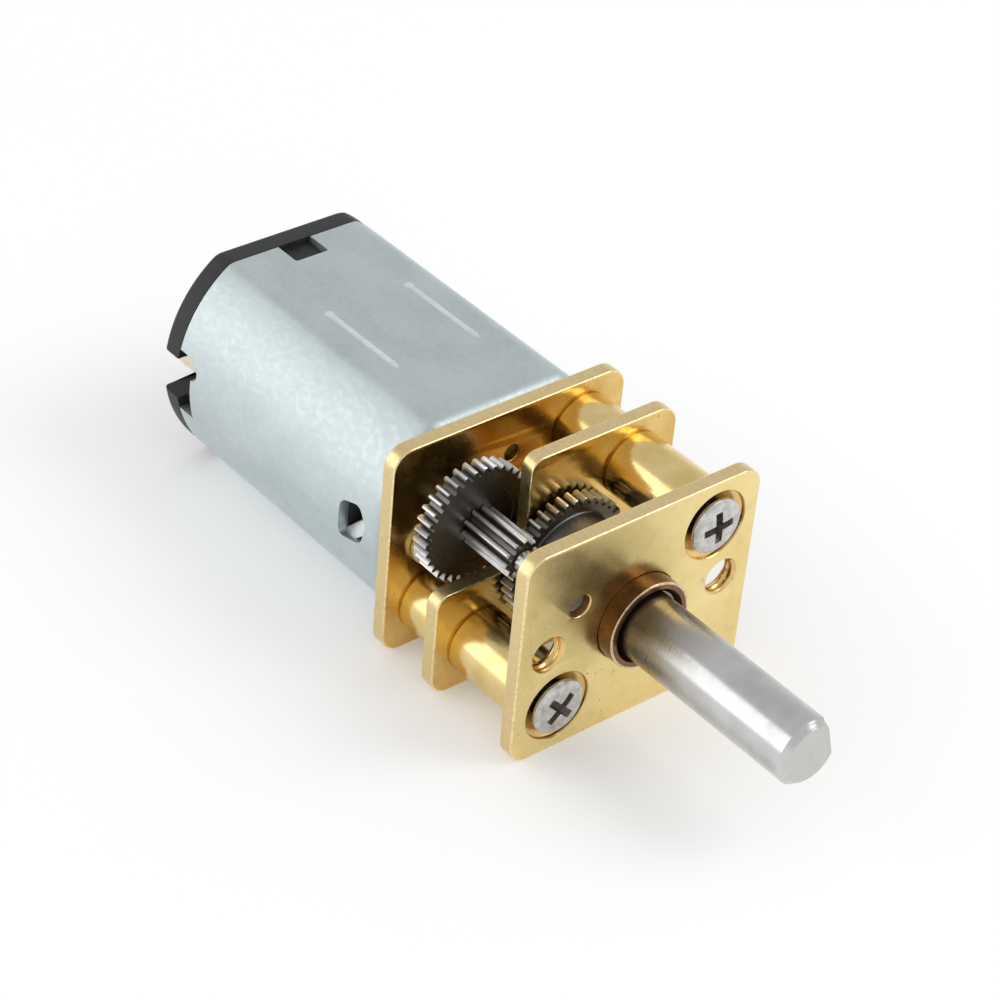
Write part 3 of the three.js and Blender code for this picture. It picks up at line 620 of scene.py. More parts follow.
# paler zinc: a painted highlight in the pressed grooves and pits, also used on the bent tab
RUBBED_ZINC = grainy_material(
    "zinc_painted_highlight", ((0.84, 0.86, 0.845), (0.68, 0.72, 0.71)), (0.3, 0.7),
    (0.28, 0.42), 0.008, (0.3, EVEN, 4))
BLACK = black_plastic_material()
TINNED = grainy_material(
    "tinned_brass", ((0.80, 0.77, 0.68), (0.72, 0.64, 0.46)), (0.3, 0.7),
    (0.2, 0.4), 0.003, (0.5,), (0.5,), (0.1, (6, 1, 1)))
FERRITE = grainy_material(
    "ferrite", ((0.035, 0.035, 0.037), (0.075, 0.075, 0.08)), None,
    (0.55, 0.75), 0.01, (0.08, EVEN, 4), metallic=0.0)
LAMINATIONS = grainy_material(
    "core_laminations", ((0.42, 0.43, 0.45), (0.25, 0.25, 0.27)), (0.4, 0.6),
    (0.35, 0.55), 0.02, SHEETS, (0.3,), SHEETS)
WIRE = grainy_material(
    "enamelled_wire", ((0.72, 0.33, 0.13), (0.45, 0.17, 0.06)), (0.35, 0.65),
    (0.2, 0.35), 0.03, (0.09, (1, 4, 4), 1))
WIRE.node_tree.nodes["Principled BSDF"].inputs["Coat Weight"].default_value = 0.4
COPPER = grainy_material(
    "commutator_copper", ((0.82, 0.50, 0.33), (0.52, 0.28, 0.16)), (0.3, 0.7),
    (0.2, 0.4), 0.004, (0.05, (1, 60, 60), 2))
WHITE = grainy_material(
    "white_plastic", ((0.80, 0.78, 0.72), (0.70, 0.67, 0.60)), None,
    (0.45, 0.6), 0.004, (0.6,), (0.6,), (0.05,), metallic=0.0)


# ---- gearbox plates ----
def full_outline():
    y, z, r = HALF_WIDTH, HALF_HEIGHT, PLATE_CORNER
    return filleted([(-y, -z, r), (y, -z, r), (y, z, r), (-y, z, r)], steps=10)


def drilled(x0, x1, radius, ease=SMALL_EASE):
    """Plain hole's (x, radius) profile, front to back, with both mouths eased."""
    return [(x, radius + inward) for x, inward in eased(x1, x0, ease)]


def countersunk(x0, x1):
    """Clearance hole that opens into a cone at the front."""
    return [
        (x1, COUNTERSINK_R + SMALL_EASE),
        (x1 - SMALL_EASE, COUNTERSINK_R),
        (x1 - 0.16, COUNTERSINK_R - 0.02),
        (x1 - COUNTERSINK_DEPTH, SCREW_CLEARANCE_R),
        (x0, SCREW_CLEARANCE_R),
    ]


def plain_hole(bm, y, z, profile, steps):
    """Inner wall of a hole. Returns its front and back rings."""
    rings = [ring(bm, x, circle(y, z, radius, steps)) for x, radius in profile]
    bridge_all(bm, rings, HOLE)
    return rings[0], rings[-1]


def threaded_hole(bm, y, z, x0, x1, radius):
    """Tapped hole: the wall's radius follows a helical thread, fading out at both mouths."""
    steps, rows = 48, 28
    rings = []
    for row in range(rows + 1):
        x = x1 + (x0 - x1) * row / rows
        mouth = min(x1 - x, x - x0)
        depth = min(1.0, mouth / THREAD_FADE) * THREAD_DEPTH
        flare = MOUTH_FLARE * max(0.0, 1 - mouth / MOUTH_DEPTH)
        points = []
        for i in range(steps):
            turn = i / steps
            wave = 0.5 + 0.5 * math.cos(2 * math.pi * (x / THREAD_PITCH + turn))
            points.append(polar(radius - depth * wave + flare, 2 * math.pi * turn, y, z))
        rings.append(ring(bm, x, points))
    bridge_all(bm, rings, HOLE)
    return rings[0], rings[-1]


def slab(bm, outline, x0, x1, hole_rings):
    """Plate between x0 and x1 round holes that are already drawn."""
    rings = [ring(bm, x, inset(outline, inward)) for x, inward in eased(x1, x0, PLATE_EASE)]
    for k, (first, second) in enumerate(zip(rings, rings[1:])):
        bridge(bm, first, second, WALL if k == len(rings) // 2 - 1 else EDGE)
    fill(bm, rings[0], [front for front, _ in hole_rings], FACE)
    fill(bm, rings[-1], [back for _, back in hole_rings], FACE)


def screw_places():
    return [axis_of(f"long_spacer_{side}") for side, _ in SIDES]


def front_plate(bm):
    x0, x1 = FRONT_BACK, FRONT_FACE
    holes = [plain_hole(bm, 0, 0, drilled(x0, x1, BUSH_R + FIT), 96)]
    for _, side in SIDES:
        holes.append(threaded_hole(bm, side * MOUNT_HOLE_Y, 0, x0, x1, MOUNT_HOLE_R))
    for y, z in screw_places():
        holes.append(plain_hole(bm, y, z, countersunk(x0, x1), 72))
    pin_hole = drilled(x0, x1, radius_of("idler_arbor") + FIT, ease=0.07)
    holes.append(plain_hole(bm, IDLER_Y, IDLER_Z, pin_hole, 36))
    slab(bm, full_outline(), x0, x1, holes)


def middle_plate(bm):
    """The plate whose upper left corner is cut away round the idler gear."""
    x0, x1 = MIDDLE_BACK, MIDDLE_FACE
    y, z, r = HALF_WIDTH, HALF_HEIGHT, PLATE_CORNER
    cut_y, cut_z, cut_r = MIDDLE_CUT
    outline = filleted([
        (-y, -z, r), (y, -z, r), (y, z, r),
        (cut_y, z, cut_r), (cut_y, cut_z, cut_r), (-y, cut_z, cut_r),
    ], steps=10)
    places = [(*place, SCREW_CLEARANCE_R) for place in screw_places()]
    places.append((0, 0, JOURNAL_R + RUNNING_FIT))
    holes = [plain_hole(bm, u, v, drilled(x0, x1, bore), 48) for u, v, bore in places]
    slab(bm, outline, x0, x1, holes)


def rear_plate(bm):
    x0, x1 = REAR_BACK, REAR_FACE
    places = [(0, 0, BEARING_NOSE_R + FIT, 72)]
    places += [(y, z, GEARBOX_SCREW_R + FIT, 48) for y, z in screw_places()]
    places += [(side * MOTOR_SCREW_Y, 0, MOTOR_SCREW_R + FIT, 40) for _, side in SIDES]
    places += [(IDLER_Y, IDLER_Z, ARBOR_PIN_R + FIT, 32), (*SPARE_HOLE, 36)]
    holes = [plain_hole(bm, y, z, drilled(x0, x1, bore), steps) for y, z, bore, steps in places]
    slab(bm, full_outline(), x0, x1, holes)


def make_plates():
    plates = (
        ("front_plate", front_plate, OUTER_FACE),
        ("middle_plate", middle_plate, INNER_FACE),
        ("rear_plate", rear_plate, INNER_FACE),
    )
    for node, draw, face in plates:
        make(node, draw, "housing", "plate_brass", face, *PLATE_EDGES)


def spacer(bm, node):
    """Turned tube with a chamfer at each outer end."""
    x0, x1 = ends(node)
    y, z = axis_of(node)
    c = 0.09
    profile = filleted([
        (x0, SCREW_CLEARANCE_R, 0), (x0, SPACER_R - c, 0.02), (x0 + c, SPACER_R, 0.03),
        (x1 - c, SPACER_R, 0.03), (x1, SPACER_R - c, 0.02), (x1, SCREW_CLEARANCE_R, 0),
    ], steps=3)
    lathe(bm, profile, y, z, steps=96, closed=True)


def make_spacers():
    for length in ("long", "short"):
        for side, _ in SIDES:
            node = f"{length}_spacer_{side}"
            make(node, lambda bm: spacer(bm, node), "housing", "plate_brass", TURNED_BRASS)


# ---- screws ----
def cross(arm, half, turn):
    """Outline of a cross recess, turned by an angle."""
    corners = []
    for quarter_turn in range(4):
        angle = quarter_turn * math.pi / 2 + turn
        for u, v, r in ((arm, -half, 0.03), (arm, half, 0.03), (half, half, 0.035)):
            y = u * math.cos(angle) - v * math.sin(angle)
            z = u * math.sin(angle) + v * math.cos(angle)
            corners.append((y, z, r))
    return filleted(corners, steps=3)


def cross_cutter(x_top, depth, arm, half, turn, y, z):
    """Tapered cross with a narrower middle, to be cut out of a screw head."""
    def draw(bm):
        floor = x_top - depth
        stations = ((x_top + 0.2, 1.08), (x_top, 1.0), (x_top - 0.55 * depth, 0.78), (floor, 0.42))
        rings = []
        for x, share in stations:
            points = cross(arm * share, half * (0.55 + 0.45 * share), turn)
            rings.append(ring(bm, x, [(y + u, z + v) for u, v in points]))
        capped(bm, rings, 1)
    return build("cutter", draw)


def make_screw(node, profile, z, steps, *recess):
    """Turned screw whose head has a cross recess of that (depth, arm, half width, turn)."""
    y = axis_of(node)[0]
    piece = build(f"{node}_fine", lambda bm: lathe(bm, profile, y, z, steps))
    cutter = cross_cutter(ends(node)[1], *recess, y, z)
    settle(carve(piece, [cutter]), node, "housing", "bright_steel", STEEL, RECESS, sharp=32)


def gearbox_screw(side, turn):
    node = f"gearbox_screw_{side}"
    x0, x1 = ends(node)
    r, shank, top = SCREW_HEAD_R, GEARBOX_SCREW_R, x1
    profile = filleted([
        (x0, 0, 0), (x0, 0.6, 0.0), (x0 + 0.1, shank, 0.02),
        (FRONT_FACE - COUNTERSINK_DEPTH, shank, 0.0), (FRONT_FACE - 0.03, r, 0.03),
        (FRONT_FACE + 0.09, r, 0.05), (FRONT_FACE + 0.19, 0.86 * r, 0.12),
        (top - 0.012, 0.42 * r, 0.3), (top, 0, 0),
    ], steps=5)
    make_screw(node, profile, axis_of(node)[1], 96, 0.5, 0.62 * r, 0.175, turn)


def motor_screw(side, sign):
    node = f"motor_screw_{side}"
    x0, x1 = ends(node)
    r, shank, top = MOTOR_SCREW_HEAD_R, MOTOR_SCREW_R, x1
    seat = REAR_FACE + FIT
    profile = filleted([
        (x0, 0, 0), (x0, 0.42, 0), (x0 + 0.08, shank, 0.02), (seat, shank, 0), (seat, r, 0.03),
        (REAR_FACE + 0.28, r, 0.1), (top - 0.02, 0.6 * r, 0.15), (top, 0, 0),
    ], steps=4)
    make_screw(node, profile, 0, 64, 0.3, 0.5, 0.1, 0.3 * sign)


def make_screws():
    gearbox_screw("left", math.pi / 4)
    gearbox_screw("right", 0.1)
    for side, sign in SIDES:
        motor_screw(side, sign)


# ---- output shaft, bush and washer ----
def make_bush():
    """Bush with a painted highlight on its rounded outer edge and painted shade in its wide mouth."""
    x0, x1 = ends("front_bush")
    bore = SHAFT_R + RUNNING_FIT
    edge_x, face_r, rim = x1 - 0.05, BUSH_R - 0.1, BUSH_R - 0.3
    wall = filleted([(x0, bore, 0), (x0, BUSH_R, 0.08), (edge_x, BUSH_R, 0)], steps=5)
    edge = filleted([(edge_x, BUSH_R, 0), (x1, BUSH_R, 0.045), (x1, face_r, 0)], steps=5)
    face = [(x1, face_r), (x1, rim)]
    mouth = filleted([
        (x1, rim, 0), (x1 - 0.04, rim - 0.02, 0.02), (x1 - 0.35, bore, 0.1), (x0, bore, 0),
    ])

    def draw(bm):
        for profile, index in ((wall, 0), (mouth, 1), (edge, 2), (face, 0)):
            lathe(bm, profile, steps=128, index=index)
        bmesh.ops.remove_doubles(bm, verts=bm.verts, dist=1e-5)

    make("front_bush", draw, "housing", "sintered_bronze", BRONZE, OILY_BRONZE, WORN_BRONZE)


SHAFT_CHAMFER = 0.25
FLAT_DISTANCE = 1.0
FLAT_END = -9.4
FLAT_TURN = math.radians(16)
CENTRE_MARK_R = 0.13


def make_shaft():
    """D-section shaft. Its rings share angles, two of them exactly on the flat's edges."""
    x0, x1 = ends("output_shaft")
    shoulder = ends("output_gear")[0] - 0.05
    edge = math.acos(FLAT_DISTANCE / SHAFT_R)
    across, around = 16, 76
    angles = [-edge + 2 * edge * k / across for k in range(across)]
    angles += [edge + (2 * math.pi - 2 * edge) * k / around for k in range(around)]

    def section(radius, cut):
        points = []
        for a in angles:
            r = radius
            if cut and r * math.cos(a) > FLAT_DISTANCE:
                r = FLAT_DISTANCE / math.cos(a)
            points.append(polar(r, a + FLAT_TURN))
        return points

    def draw(bm):
        stations = [
            (x0, 0, False), (x0, JOURNAL_R - 0.08, False), (x0 + 0.08, JOURNAL_R, False),
            (shoulder, JOURNAL_R, False), (shoulder, SHAFT_R - 0.05, False),
            (shoulder + 0.05, SHAFT_R, False), (FLAT_END, SHAFT_R, False),
            (FLAT_END, SHAFT_R, True), (FLAT_END / 2, SHAFT_R, True),
        ]
        for share in (1.0, 0.75, 0.5, 0.25, 0.0):
            cut_back = SHAFT_CHAMFER * share
            stations.append((x1 - cut_back, SHAFT_R - SHAFT_CHAMFER * (1 - share), True))
        end = [(x1, CENTRE_MARK_R, False), (x1 - 0.07, 0, False)]
        rings = []
        for x, r, cut in stations + end:
            rings.append(ring(bm, x, section(r, cut) if r > 0 else [(0, 0)]))
        bridge_all(bm, rings[:len(stations)])
        bridge_all(bm, rings[len(stations) - 1:], 1)
        bmesh.ops.remove_doubles(bm, verts=bm.verts, dist=1e-5)

    make("output_shaft", draw, "output", "shaft_steel", SHAFT_STEEL, SHAFT_END, sharp=20)


def make_thrust_washer():
    x0, x1 = ends("thrust_washer")
    bore, r = SHAFT_R + RUNNING_FIT, 2.3
    corners = [(x0, bore, 0), (x0, r, 0.04), (x1, r, 0.04), (x1, bore, 0)]
    profile = filleted(corners, steps=3)
    make("thrust_washer", lambda bm: lathe(bm, profile, closed=True), "output", "bright_steel", PIN_STEEL)


# ---- gears ----
def involute(angle):
    return math.tan(angle) - angle


def tooth_outline(teeth, phase):
    """(angle, radius) points of a gear with one tooth centred at the phase angle."""
    pitch_r = MODULE * teeth / 2
    base_r = pitch_r * math.cos(PRESSURE_ANGLE)
    root_r, tip_r = pitch_r - 1.25 * MODULE, pitch_r + MODULE
    at_pitch = TOOTH_SHARE * math.pi / teeth + involute(PRESSURE_ANGLE)
    steps = 7
    flank = []
    for k in range(steps + 1):
        r = root_r + (tip_r - root_r) * k / steps
        flank.append((at_pitch - involute(math.acos(min(1.0, base_r / r))), r))
    foot = (math.pi / teeth + flank[0][0]) / 2
    half = [(foot, root_r), *flank, (flank[-1][0] / 3, tip_r)]
    points = []
    for i in range(teeth):
        centre = phase + 2 * math.pi * i / teeth
        points += [(centre - a, r) for a, r in half]
        points += [(centre + a, r) for a, r in reversed(half)]
    return points


def gear(bm, teeth, phase, stations, y=0.0, z=0.0):
    """Gear turned from stations, as a closed loop.

    A station is (x, radius) for a circle, or (x, lowest, highest radius) to follow the teeth."""
    outline = tooth_outline(teeth, phase)
    rings = []
    for x, low, *limit in stations:
        high = limit[0] if limit else low
        rings.append(ring(bm, x, [polar(min(max(r, low), high), a, y, z) for a, r in outline]))
    toothed = [len(station) == 3 for station in stations]
    for k, first in enumerate(rings):
        following = (k + 1) % len(rings)
        bridge(bm, first, rings[following], 1 if toothed[k] and toothed[following] else 0)


def tip_radius(teeth):
    return MODULE * (teeth / 2 + 1)


def make_gear(node, body, teeth, phase, stations, y=0.0, z=0.0):
    """Dark steel gear with face and tooth materials of its own, centred on its axis."""
    face = gear_face_material(f"{node}_face", y, z)
    flanks = tooth_material(f"{node}_teeth", y, z, teeth)
    make(node, lambda bm: gear(bm, teeth, phase, stations, y, z),
         body, "gear_steel", face, flanks, sharp=30)


def make_idler_gear():
    """Flat wheel with chamfered tips and a shallow turned step in its front face."""
    x0, x1 = ends("idler_gear")
    bore, groove, c = 0.63, 1.75, 0.04
    tip = tip_radius(IDLER_GEAR_TEETH)
    rim = tip - TOOTH_RING
    stations = [
        (x0 + 0.04, bore), (x1 - 0.08, bore), (x1 - 0.03, bore + 0.05), (x1 - 0.03, groove),
        (x1, groove + 0.04), (x1, rim), (x1, 0, tip - c), (x1 - c, 0, tip),
        (x0 + c, 0, tip), (x0, 0, tip - c), (x0, rim), (x0, bore + 0.04),
    ]
    phase = IDLER_ANGLE + math.pi
    make_gear("idler_gear", "idler", IDLER_GEAR_TEETH, phase, stations, IDLER_Y, IDLER_Z)


def make_idler_pinion():
    x0, x1 = ends("idler_pinion")
    start = ends("idler_gear")[1] + FIT
    tip = tip_radius(IDLER_PINION_TEETH)
    neck, bore, c = 0.62, 0.43, 0.06
    stations = [
        (x0, bore), (x0, neck - 0.04), (x0 + 0.04, neck), (start, neck),
        (start, 0, tip), (x1 - c, 0, tip), (x1, 0, tip - 1.5 * c),
        (x1, 0.54), (x1, bore + 0.04), (x1 - 0.04, bore),
    ]
    phase = IDLER_ANGLE + math.pi
    make_gear("idler_pinion", "idler", IDLER_PINION_TEETH, phase, stations, IDLER_Y, IDLER_Z)


def make_idler_arbor():
    """Fixed pin, thicker in front of its collar. Its front end is painted dark as shade down in its hole.
    """
    x0, x1 = ends("idler_arbor")
    pin_r, collar_r = ARBOR_PIN_R, 0.5
    profile = filleted([
        (x0, 0, 0), (x0, pin_r, 0.06), (COLLAR_X, pin_r, 0.02), (COLLAR_X, collar_r, 0.05),
        (x1 - 0.12, collar_r, 0.03), (x1, 0.6 * collar_r, 0.05), (x1, 0, 0),
    ], steps=4)

    def draw(bm):
        lathe(bm, profile, IDLER_Y, IDLER_Z, steps=48)
        for face in bm.faces:
            if face.calc_center_median().x > x1 - 0.13:
                face.material_index = 1

    make("idler_arbor", draw, "housing", "bright_steel", PIN_STEEL, RECESS)


def make_output_gear():
    x0, front = ends("output_gear")
    x1 = OUTPUT_WHEEL_FACE
    hub, bore, c = 2.3, SHAFT_R + FIT, 0.04
    tip = tip_radius(OUTPUT_GEAR_TEETH)
    rim = tip - TOOTH_RING
    stations = [
        (x0, bore), (x0, rim), (x0, 0, tip - c), (x0 + c, 0, tip), (x1 - c, 0, tip), (x1, 0, tip - c),
        (x1, rim), (x1, hub + 0.05), (x1 + 0.05, hub), (front - 0.08, hub), (front, hub - 0.08),
        (front, bore),
    ]
    phase = IDLER_ANGLE + math.pi / OUTPUT_GEAR_TEETH
    make_gear("output_gear", "output", OUTPUT_GEAR_TEETH, phase, stations)


def make_motor_pinion():
    """Brass pinion on the motor's shaft."""
    x0, x1 = ends("motor_pinion")
    teeth, tip = MOTOR_PINION_TEETH, tip_radius(MOTOR_PINION_TEETH)
    bore, face_r, c = MOTOR_SCREW_R + FIT, 0.8, 0.05
    stations = [
        (x0, bore), (x0, face_r), (x0, 0, tip - c), (x0 + c, 0, tip),
        (x1 - c, 0, tip), (x1, 0, tip - c), (x1, face_r), (x1, bore),
    ]
    phase = IDLER_ANGLE + math.pi / teeth
    # its teeth carry the same painted tip highlight and gap shade
    flanks = tooth_material("pinion_brass", 0, 0, teeth, (0.83, 0.67, 0.34), (0.35, 0.25, 0.12))
    make("motor_pinion", lambda bm: gear(bm, teeth, phase, stations),
         "rotor", "pinion_brass", TURNED_BRASS, flanks, sharp=30)


# ---- motor can ----
def can_section(inward=0.0):
    """A circle of the can's full width, blended into its upper and lower flats."""
    points = []
    for i in range(CAN_STEPS):
        angle = 2 * math.pi * (i + 0.5) / CAN_STEPS
        flat = (HALF_HEIGHT - inward) / abs(math.sin(angle))
        r = ((HALF_WIDTH - inward) ** -CAN_BLEND + flat ** -CAN_BLEND) ** (-1 / CAN_BLEND)
        points.append(polar(r, angle))
    return points


def can_circle(radius):
    """Circle whose points stand at the section's own angles."""
    return [tuple(Vector(p).normalized() * radius) for p in can_section()]


def can_shell(bm):
    """Cup with a hole for the bearing's nose, drawn from its front down the outside and back."""
    bore = BEARING_NOSE_R + FIT
    inside = CAN_FRONT - CAN_WALL
    front, back = CAN_FRONT - CAN_FILLET, CAN_BACK + CAN_LIP
    rings = [ring(bm, CAN_FRONT, can_circle(bore))]
    for inward, depth in quarter(CAN_FILLET, steps=7):
        rings.append(ring(bm, CAN_FRONT - depth, can_section(inward)))
    for k in range(1, 19):
        rings.append(ring(bm, front + (back - front) * k / 18, can_section()))
    rings.append(ring(bm, CAN_BACK, can_section(CAN_LIP)))
    rings.append(ring(bm, CAN_BACK, can_section(CAN_WALL - 0.04)))
    rings.append(ring(bm, CAN_BACK + 0.04, can_section(CAN_WALL)))
    for k in range(1, 7):
        rings.append(ring(bm, CAN_BACK + (inside - CAN_BACK) * k / 6, can_section(CAN_WALL)))
    rings.append(ring(bm, inside, can_circle(bore)))
    bridge_all(bm, rings, closed=True)


STAND_UP = Matrix(((0, 1, 0, 0), (0, 0, 1, 0), (1, 0, 0, 0), (0, 0, 0, 1)))
LIE_OUT = Matrix(((0, 1, 0, 0), (1, 0, 0, 0), (0, 0, 1, 0), (0, 0, 0, 1)))


def notch(x0, x1, half, radius):
    """Rectangle from x0 to x1, with its two corners at x1 rounded."""
    return filleted([(x0, -half, 0), (x1, -half, radius), (x1, half, radius), (x0, half, 0)])


def pulled(name, outline, sign, inner, outer, turned, ease=0.0):
    """Outline pulled outwards on one side of the motor, between two distances from its axis."""
    reach = sorted((sign * inner, sign * outer))
    return turn_mesh(build(name, lambda bm: prism(bm, outline, *reach, ease)), turned)


def key_cutter(sign):
    """Cuts the notch for the cap's key, drawn in X and Y and pulled along Z."""
    outline = notch(CAN_BACK - 1, CAN_BACK + KEY_LENGTH, KEY_HALF, 0.12)
    return pulled("cutter", outline, sign, HALF_HEIGHT - 1, HALF_HEIGHT + 1, STAND_UP)


def slot_cutter(sign):
    """Cuts the side slot with its half-round dimple, drawn in X and Z and pulled along Y."""
    x0, x1 = CAN_BACK - 1, CAN_BACK + SLOT_LENGTH
    dimple = [polar(DIMPLE_R, -math.pi / 2 + math.pi * k / 12, x1, DIMPLE_Z) for k in range(13)]
    outline = [(x0, -SLOT_HALF), (x1, -SLOT_HALF), *dimple, (x1, SLOT_HALF), (x0, SLOT_HALF)]
    return pulled("cutter", outline, sign, HALF_WIDTH - 1.5, HALF_WIDTH + 1, LIE_OUT)


def lance_cutter(sign):
    """Cuts the pear-shaped hole whose metal is bent in to hold a magnet."""
    x, z = LANCE_X, LANCE_Z
    outline = filleted([
        (x - 0.75, z - 1.0, 0.22), (x + 0.75, z - 0.62, 0.62), (x + 1.02, z + 0.4, 0.5),
        (x + 0.45, z + 1.12, 0.5), (x - 0.75, z + 0.78, 0.5),
    ])
    return pulled("cutter", outline, sign, HALF_WIDTH - 1.2, HALF_WIDTH + 1, LIE_OUT)


def lance_tab(sign):
    """Metal bent in from the lower right edge of the pear-shaped hole."""
    x, z = LANCE_X, LANCE_Z
    outer = [
        (x + 1.3, z + 0.25, 0.12), (x - 0.45, z - 1.35, 0.12),
        (x - 0.75, z - 0.8, 0.42), (x + 0.5, z + 0.45, 0.42),
    ]

    def draw(bm):
        skins = []
        for thickness in (0.0, 0.3):
            skin = []
            for u, v, depth in outer:
                wall = math.sqrt(HALF_WIDTH ** 2 - v * v)
                skin.append(bm.verts.new((u, sign * (wall - depth - thickness), v)))
            skins.append(skin)
        bridge(bm, *skins, 1)
        bm.faces.new(skins[0]).material_index = 1
        bm.faces.new(list(reversed(skins[1]))).material_index = 1

    return ease_edges(build("tab", draw), 0.08, segments=3)


def pit_cutter(y):
    """Round pit at the rear end of a groove."""
    def draw(bm):
        x, r = GROOVE_X[0] - 0.05, 0.22
        bmesh.ops.create_uvsphere(bm, u_segments=24, v_segments=12, radius=0.5)
        bmesh.ops.translate(bm, verts=bm.verts, vec=(x, y, HALF_HEIGHT + math.sqrt(0.25 - r * r)))
        for face in bm.faces:
            face.material_index = 1
    return build("cutter", draw)


def groove_cutter(y):
    """Long fine groove pressed into the upper flat."""
    def draw(bm):
        x0, x1 = GROOVE_X
        level, over = HALF_HEIGHT, HALF_HEIGHT + 0.1
        rings = []
        for x, share in ((x0, 0.2), (x0 + 0.15, 1.0), (x1 - 0.25, 1.0), (x1, 0.2)):
            half, floor = GROOVE_HALF * share, level - GROOVE_DEPTH * share
            rings.append(ring(bm, x, [
                (y - half, over), (y - half, level), (y - 0.4 * half, floor),
                (y + 0.4 * half, floor), (y + half, level), (y + half, over),
            ]))
        capped(bm, rings, 1)
    return build("cutter", draw)


def make_can():
    piece = build("motor_can_fine", can_shell)
    outside, inside, r = CAN_FRONT + 1, CAN_FRONT - 1, MOTOR_SCREW_R + FIT
    screw_hole = [(outside, 0), (outside, r), (inside, r), (inside, 0)]
    cutters = []
    for sign in (-1, 1):
        cutters += [key_cutter(sign), slot_cutter(sign), lance_cutter(sign)]
        cutters += [groove_cutter(sign * GROOVE_Y), pit_cutter(sign * GROOVE_Y)]
        y = sign * MOTOR_SCREW_Y
        cutters.append(build("cutter", lambda bm: lathe(bm, screw_hole, y, 0, steps=32)))
    carve(piece, cutters)
    carve(piece, [lance_tab(-1), lance_tab(1)], "UNION")
    settle(piece, "motor_can", "housing", "zinc_plated_steel", CAN_ZINC, RUBBED_ZINC, sharp=30)


# ---- end cap, bearings and terminals ----
def make_cap():
    low, high = span("end_cap")
    face = CAN_BACK - CAP_RIM
    floor = face + 0.85
    skirt, hollow = CAN_WALL + 0.02, CAN_WALL + 0.8

    def rim(bm):
        stations = [(face + depth, 0.02 + inward) for inward, depth in quarter(0.3, steps=5)]
        stations += [(CAN_BACK - 0.01, 0.02), (CAN_BACK - 0.01, skirt), (high.x, skirt)]
        stations += [(high.x, hollow), (floor, hollow)]
        capped(bm, [ring(bm, x, can_section(inward)) for x, inward in stations])

    def boss(bm):
        profile = filleted([
            (low.x, 0, 0), (low.x, CAP_BOSS_R, 0.15), (face - 0.1, CAP_BOSS_R + 0.1, 0),
            (CAP_BOSS_END, CAP_BOSS_R, 0), (CAP_BOSS_END, 0, 0),
        ], steps=5)
        lathe(bm, profile, steps=72)

    def seat(bm):
        x0, x1, r = low.x - 1, CAP_SEAT_END, CAP_SEAT_R
        lathe(bm, [(x0, 0), (x0, r), (x1, r), (x1, 0)], steps=72)

    piece = build("end_cap_fine", rim)
    key = notch(CAN_BACK - 0.4, CAN_BACK + KEY_LENGTH - 0.04, KEY_HALF - 0.03, 0.1)
    slot = notch(face - 1, CAN_BACK + SLOT_LENGTH, 1, 0.1)
    joined = [build("boss", boss)]
    cutters = [build("seat", seat)]
    for sign in (-1, 1):
        key_reach = HALF_HEIGHT - 1.2, HALF_HEIGHT - 0.32
        joined.append(pulled("key", key, sign, *key_reach, STAND_UP, ease=0.05))
        cutters.append(pulled("slot", slot, sign, 3.9, HALF_WIDTH + 1, LIE_OUT))
    carve(piece, joined, "UNION")
    carve(piece, cutters)
    ease_edges(piece, 0.05)
    settle(piece, "end_cap", "housing", "black_plastic", BLACK, sharp=35)


def make_bearings():
    for node, flanged in (("front_bearing", True), ("rear_bearing", False)):
        x0, x1 = ends(node)
        r, bore, nose = radius_of(node), 0.53, BEARING_NOSE_R
        corners = [(x0, bore, 0.03), (x0, r, 0.08), (x1, r, 0.08), (x1, bore, 0.03)]
        if flanged:
            seat = CAN_FRONT - CAN_WALL - FIT
            corners[2:3] = [(seat, r, 0.05), (seat, nose, 0), (x1, nose, 0.08)]
        profile = filleted(corners, steps=3)
        make(node, lambda bm: lathe(bm, profile, steps=72, closed=True),
             "housing", "sintered_bronze", BRONZE)


def make_terminals():
    for side, _ in SIDES:
        node = f"terminal_{side}"
        low, high = span(node)
        half = high.z
        outline = filleted([
            (low.x, -half, 0.32), (high.x, -half, 0.04), (high.x, half, 0.04), (low.x, half, 0.32),
        ])
        piece = build(f"{node}_fine", lambda bm: prism(bm, outline, low.y, high.y, ease=0.04))
        turn_mesh(piece, LIE_OUT)
        eye = build("eye", lambda bm: prism(bm, circle(low.x + 0.85, 0, 0.35, 32), low.y - 1, high.y + 1))
        carve(piece, [turn_mesh(eye, LIE_OUT)])
        settle(piece, node, "housing", "tinned_brass", TINNED)


def make_motor_shaft():
    x0, x1 = ends("motor_shaft")
    r = radius_of("motor_shaft")
    profile = filleted([(x0, 0, 0), (x0, r, 0.1), (x1, r, 0.1), (x1, 0, 0)], steps=4)
    make("motor_shaft", lambda bm: lathe(bm, profile, steps=48), "rotor", "bright_steel", PIN_STEEL)


# ---- pieces that keep their CAD shape ----
def dress_inside():
    looks = {
        "magnet": FERRITE, "brush": TINNED, "armature_core": LAMINATIONS, "winding": WIRE,
        "commutator_segment": COPPER, "commutator_hub": WHITE, "core_insulator": WHITE,
        "rotor_washer": WHITE,
    }
    for name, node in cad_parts.items():
        for start, material in looks.items():
            if name.startswith(start):
                node.data.materials.clear()
                node.data.materials.append(material)


# ---- stage ----
MIDDLE_X = -18.0


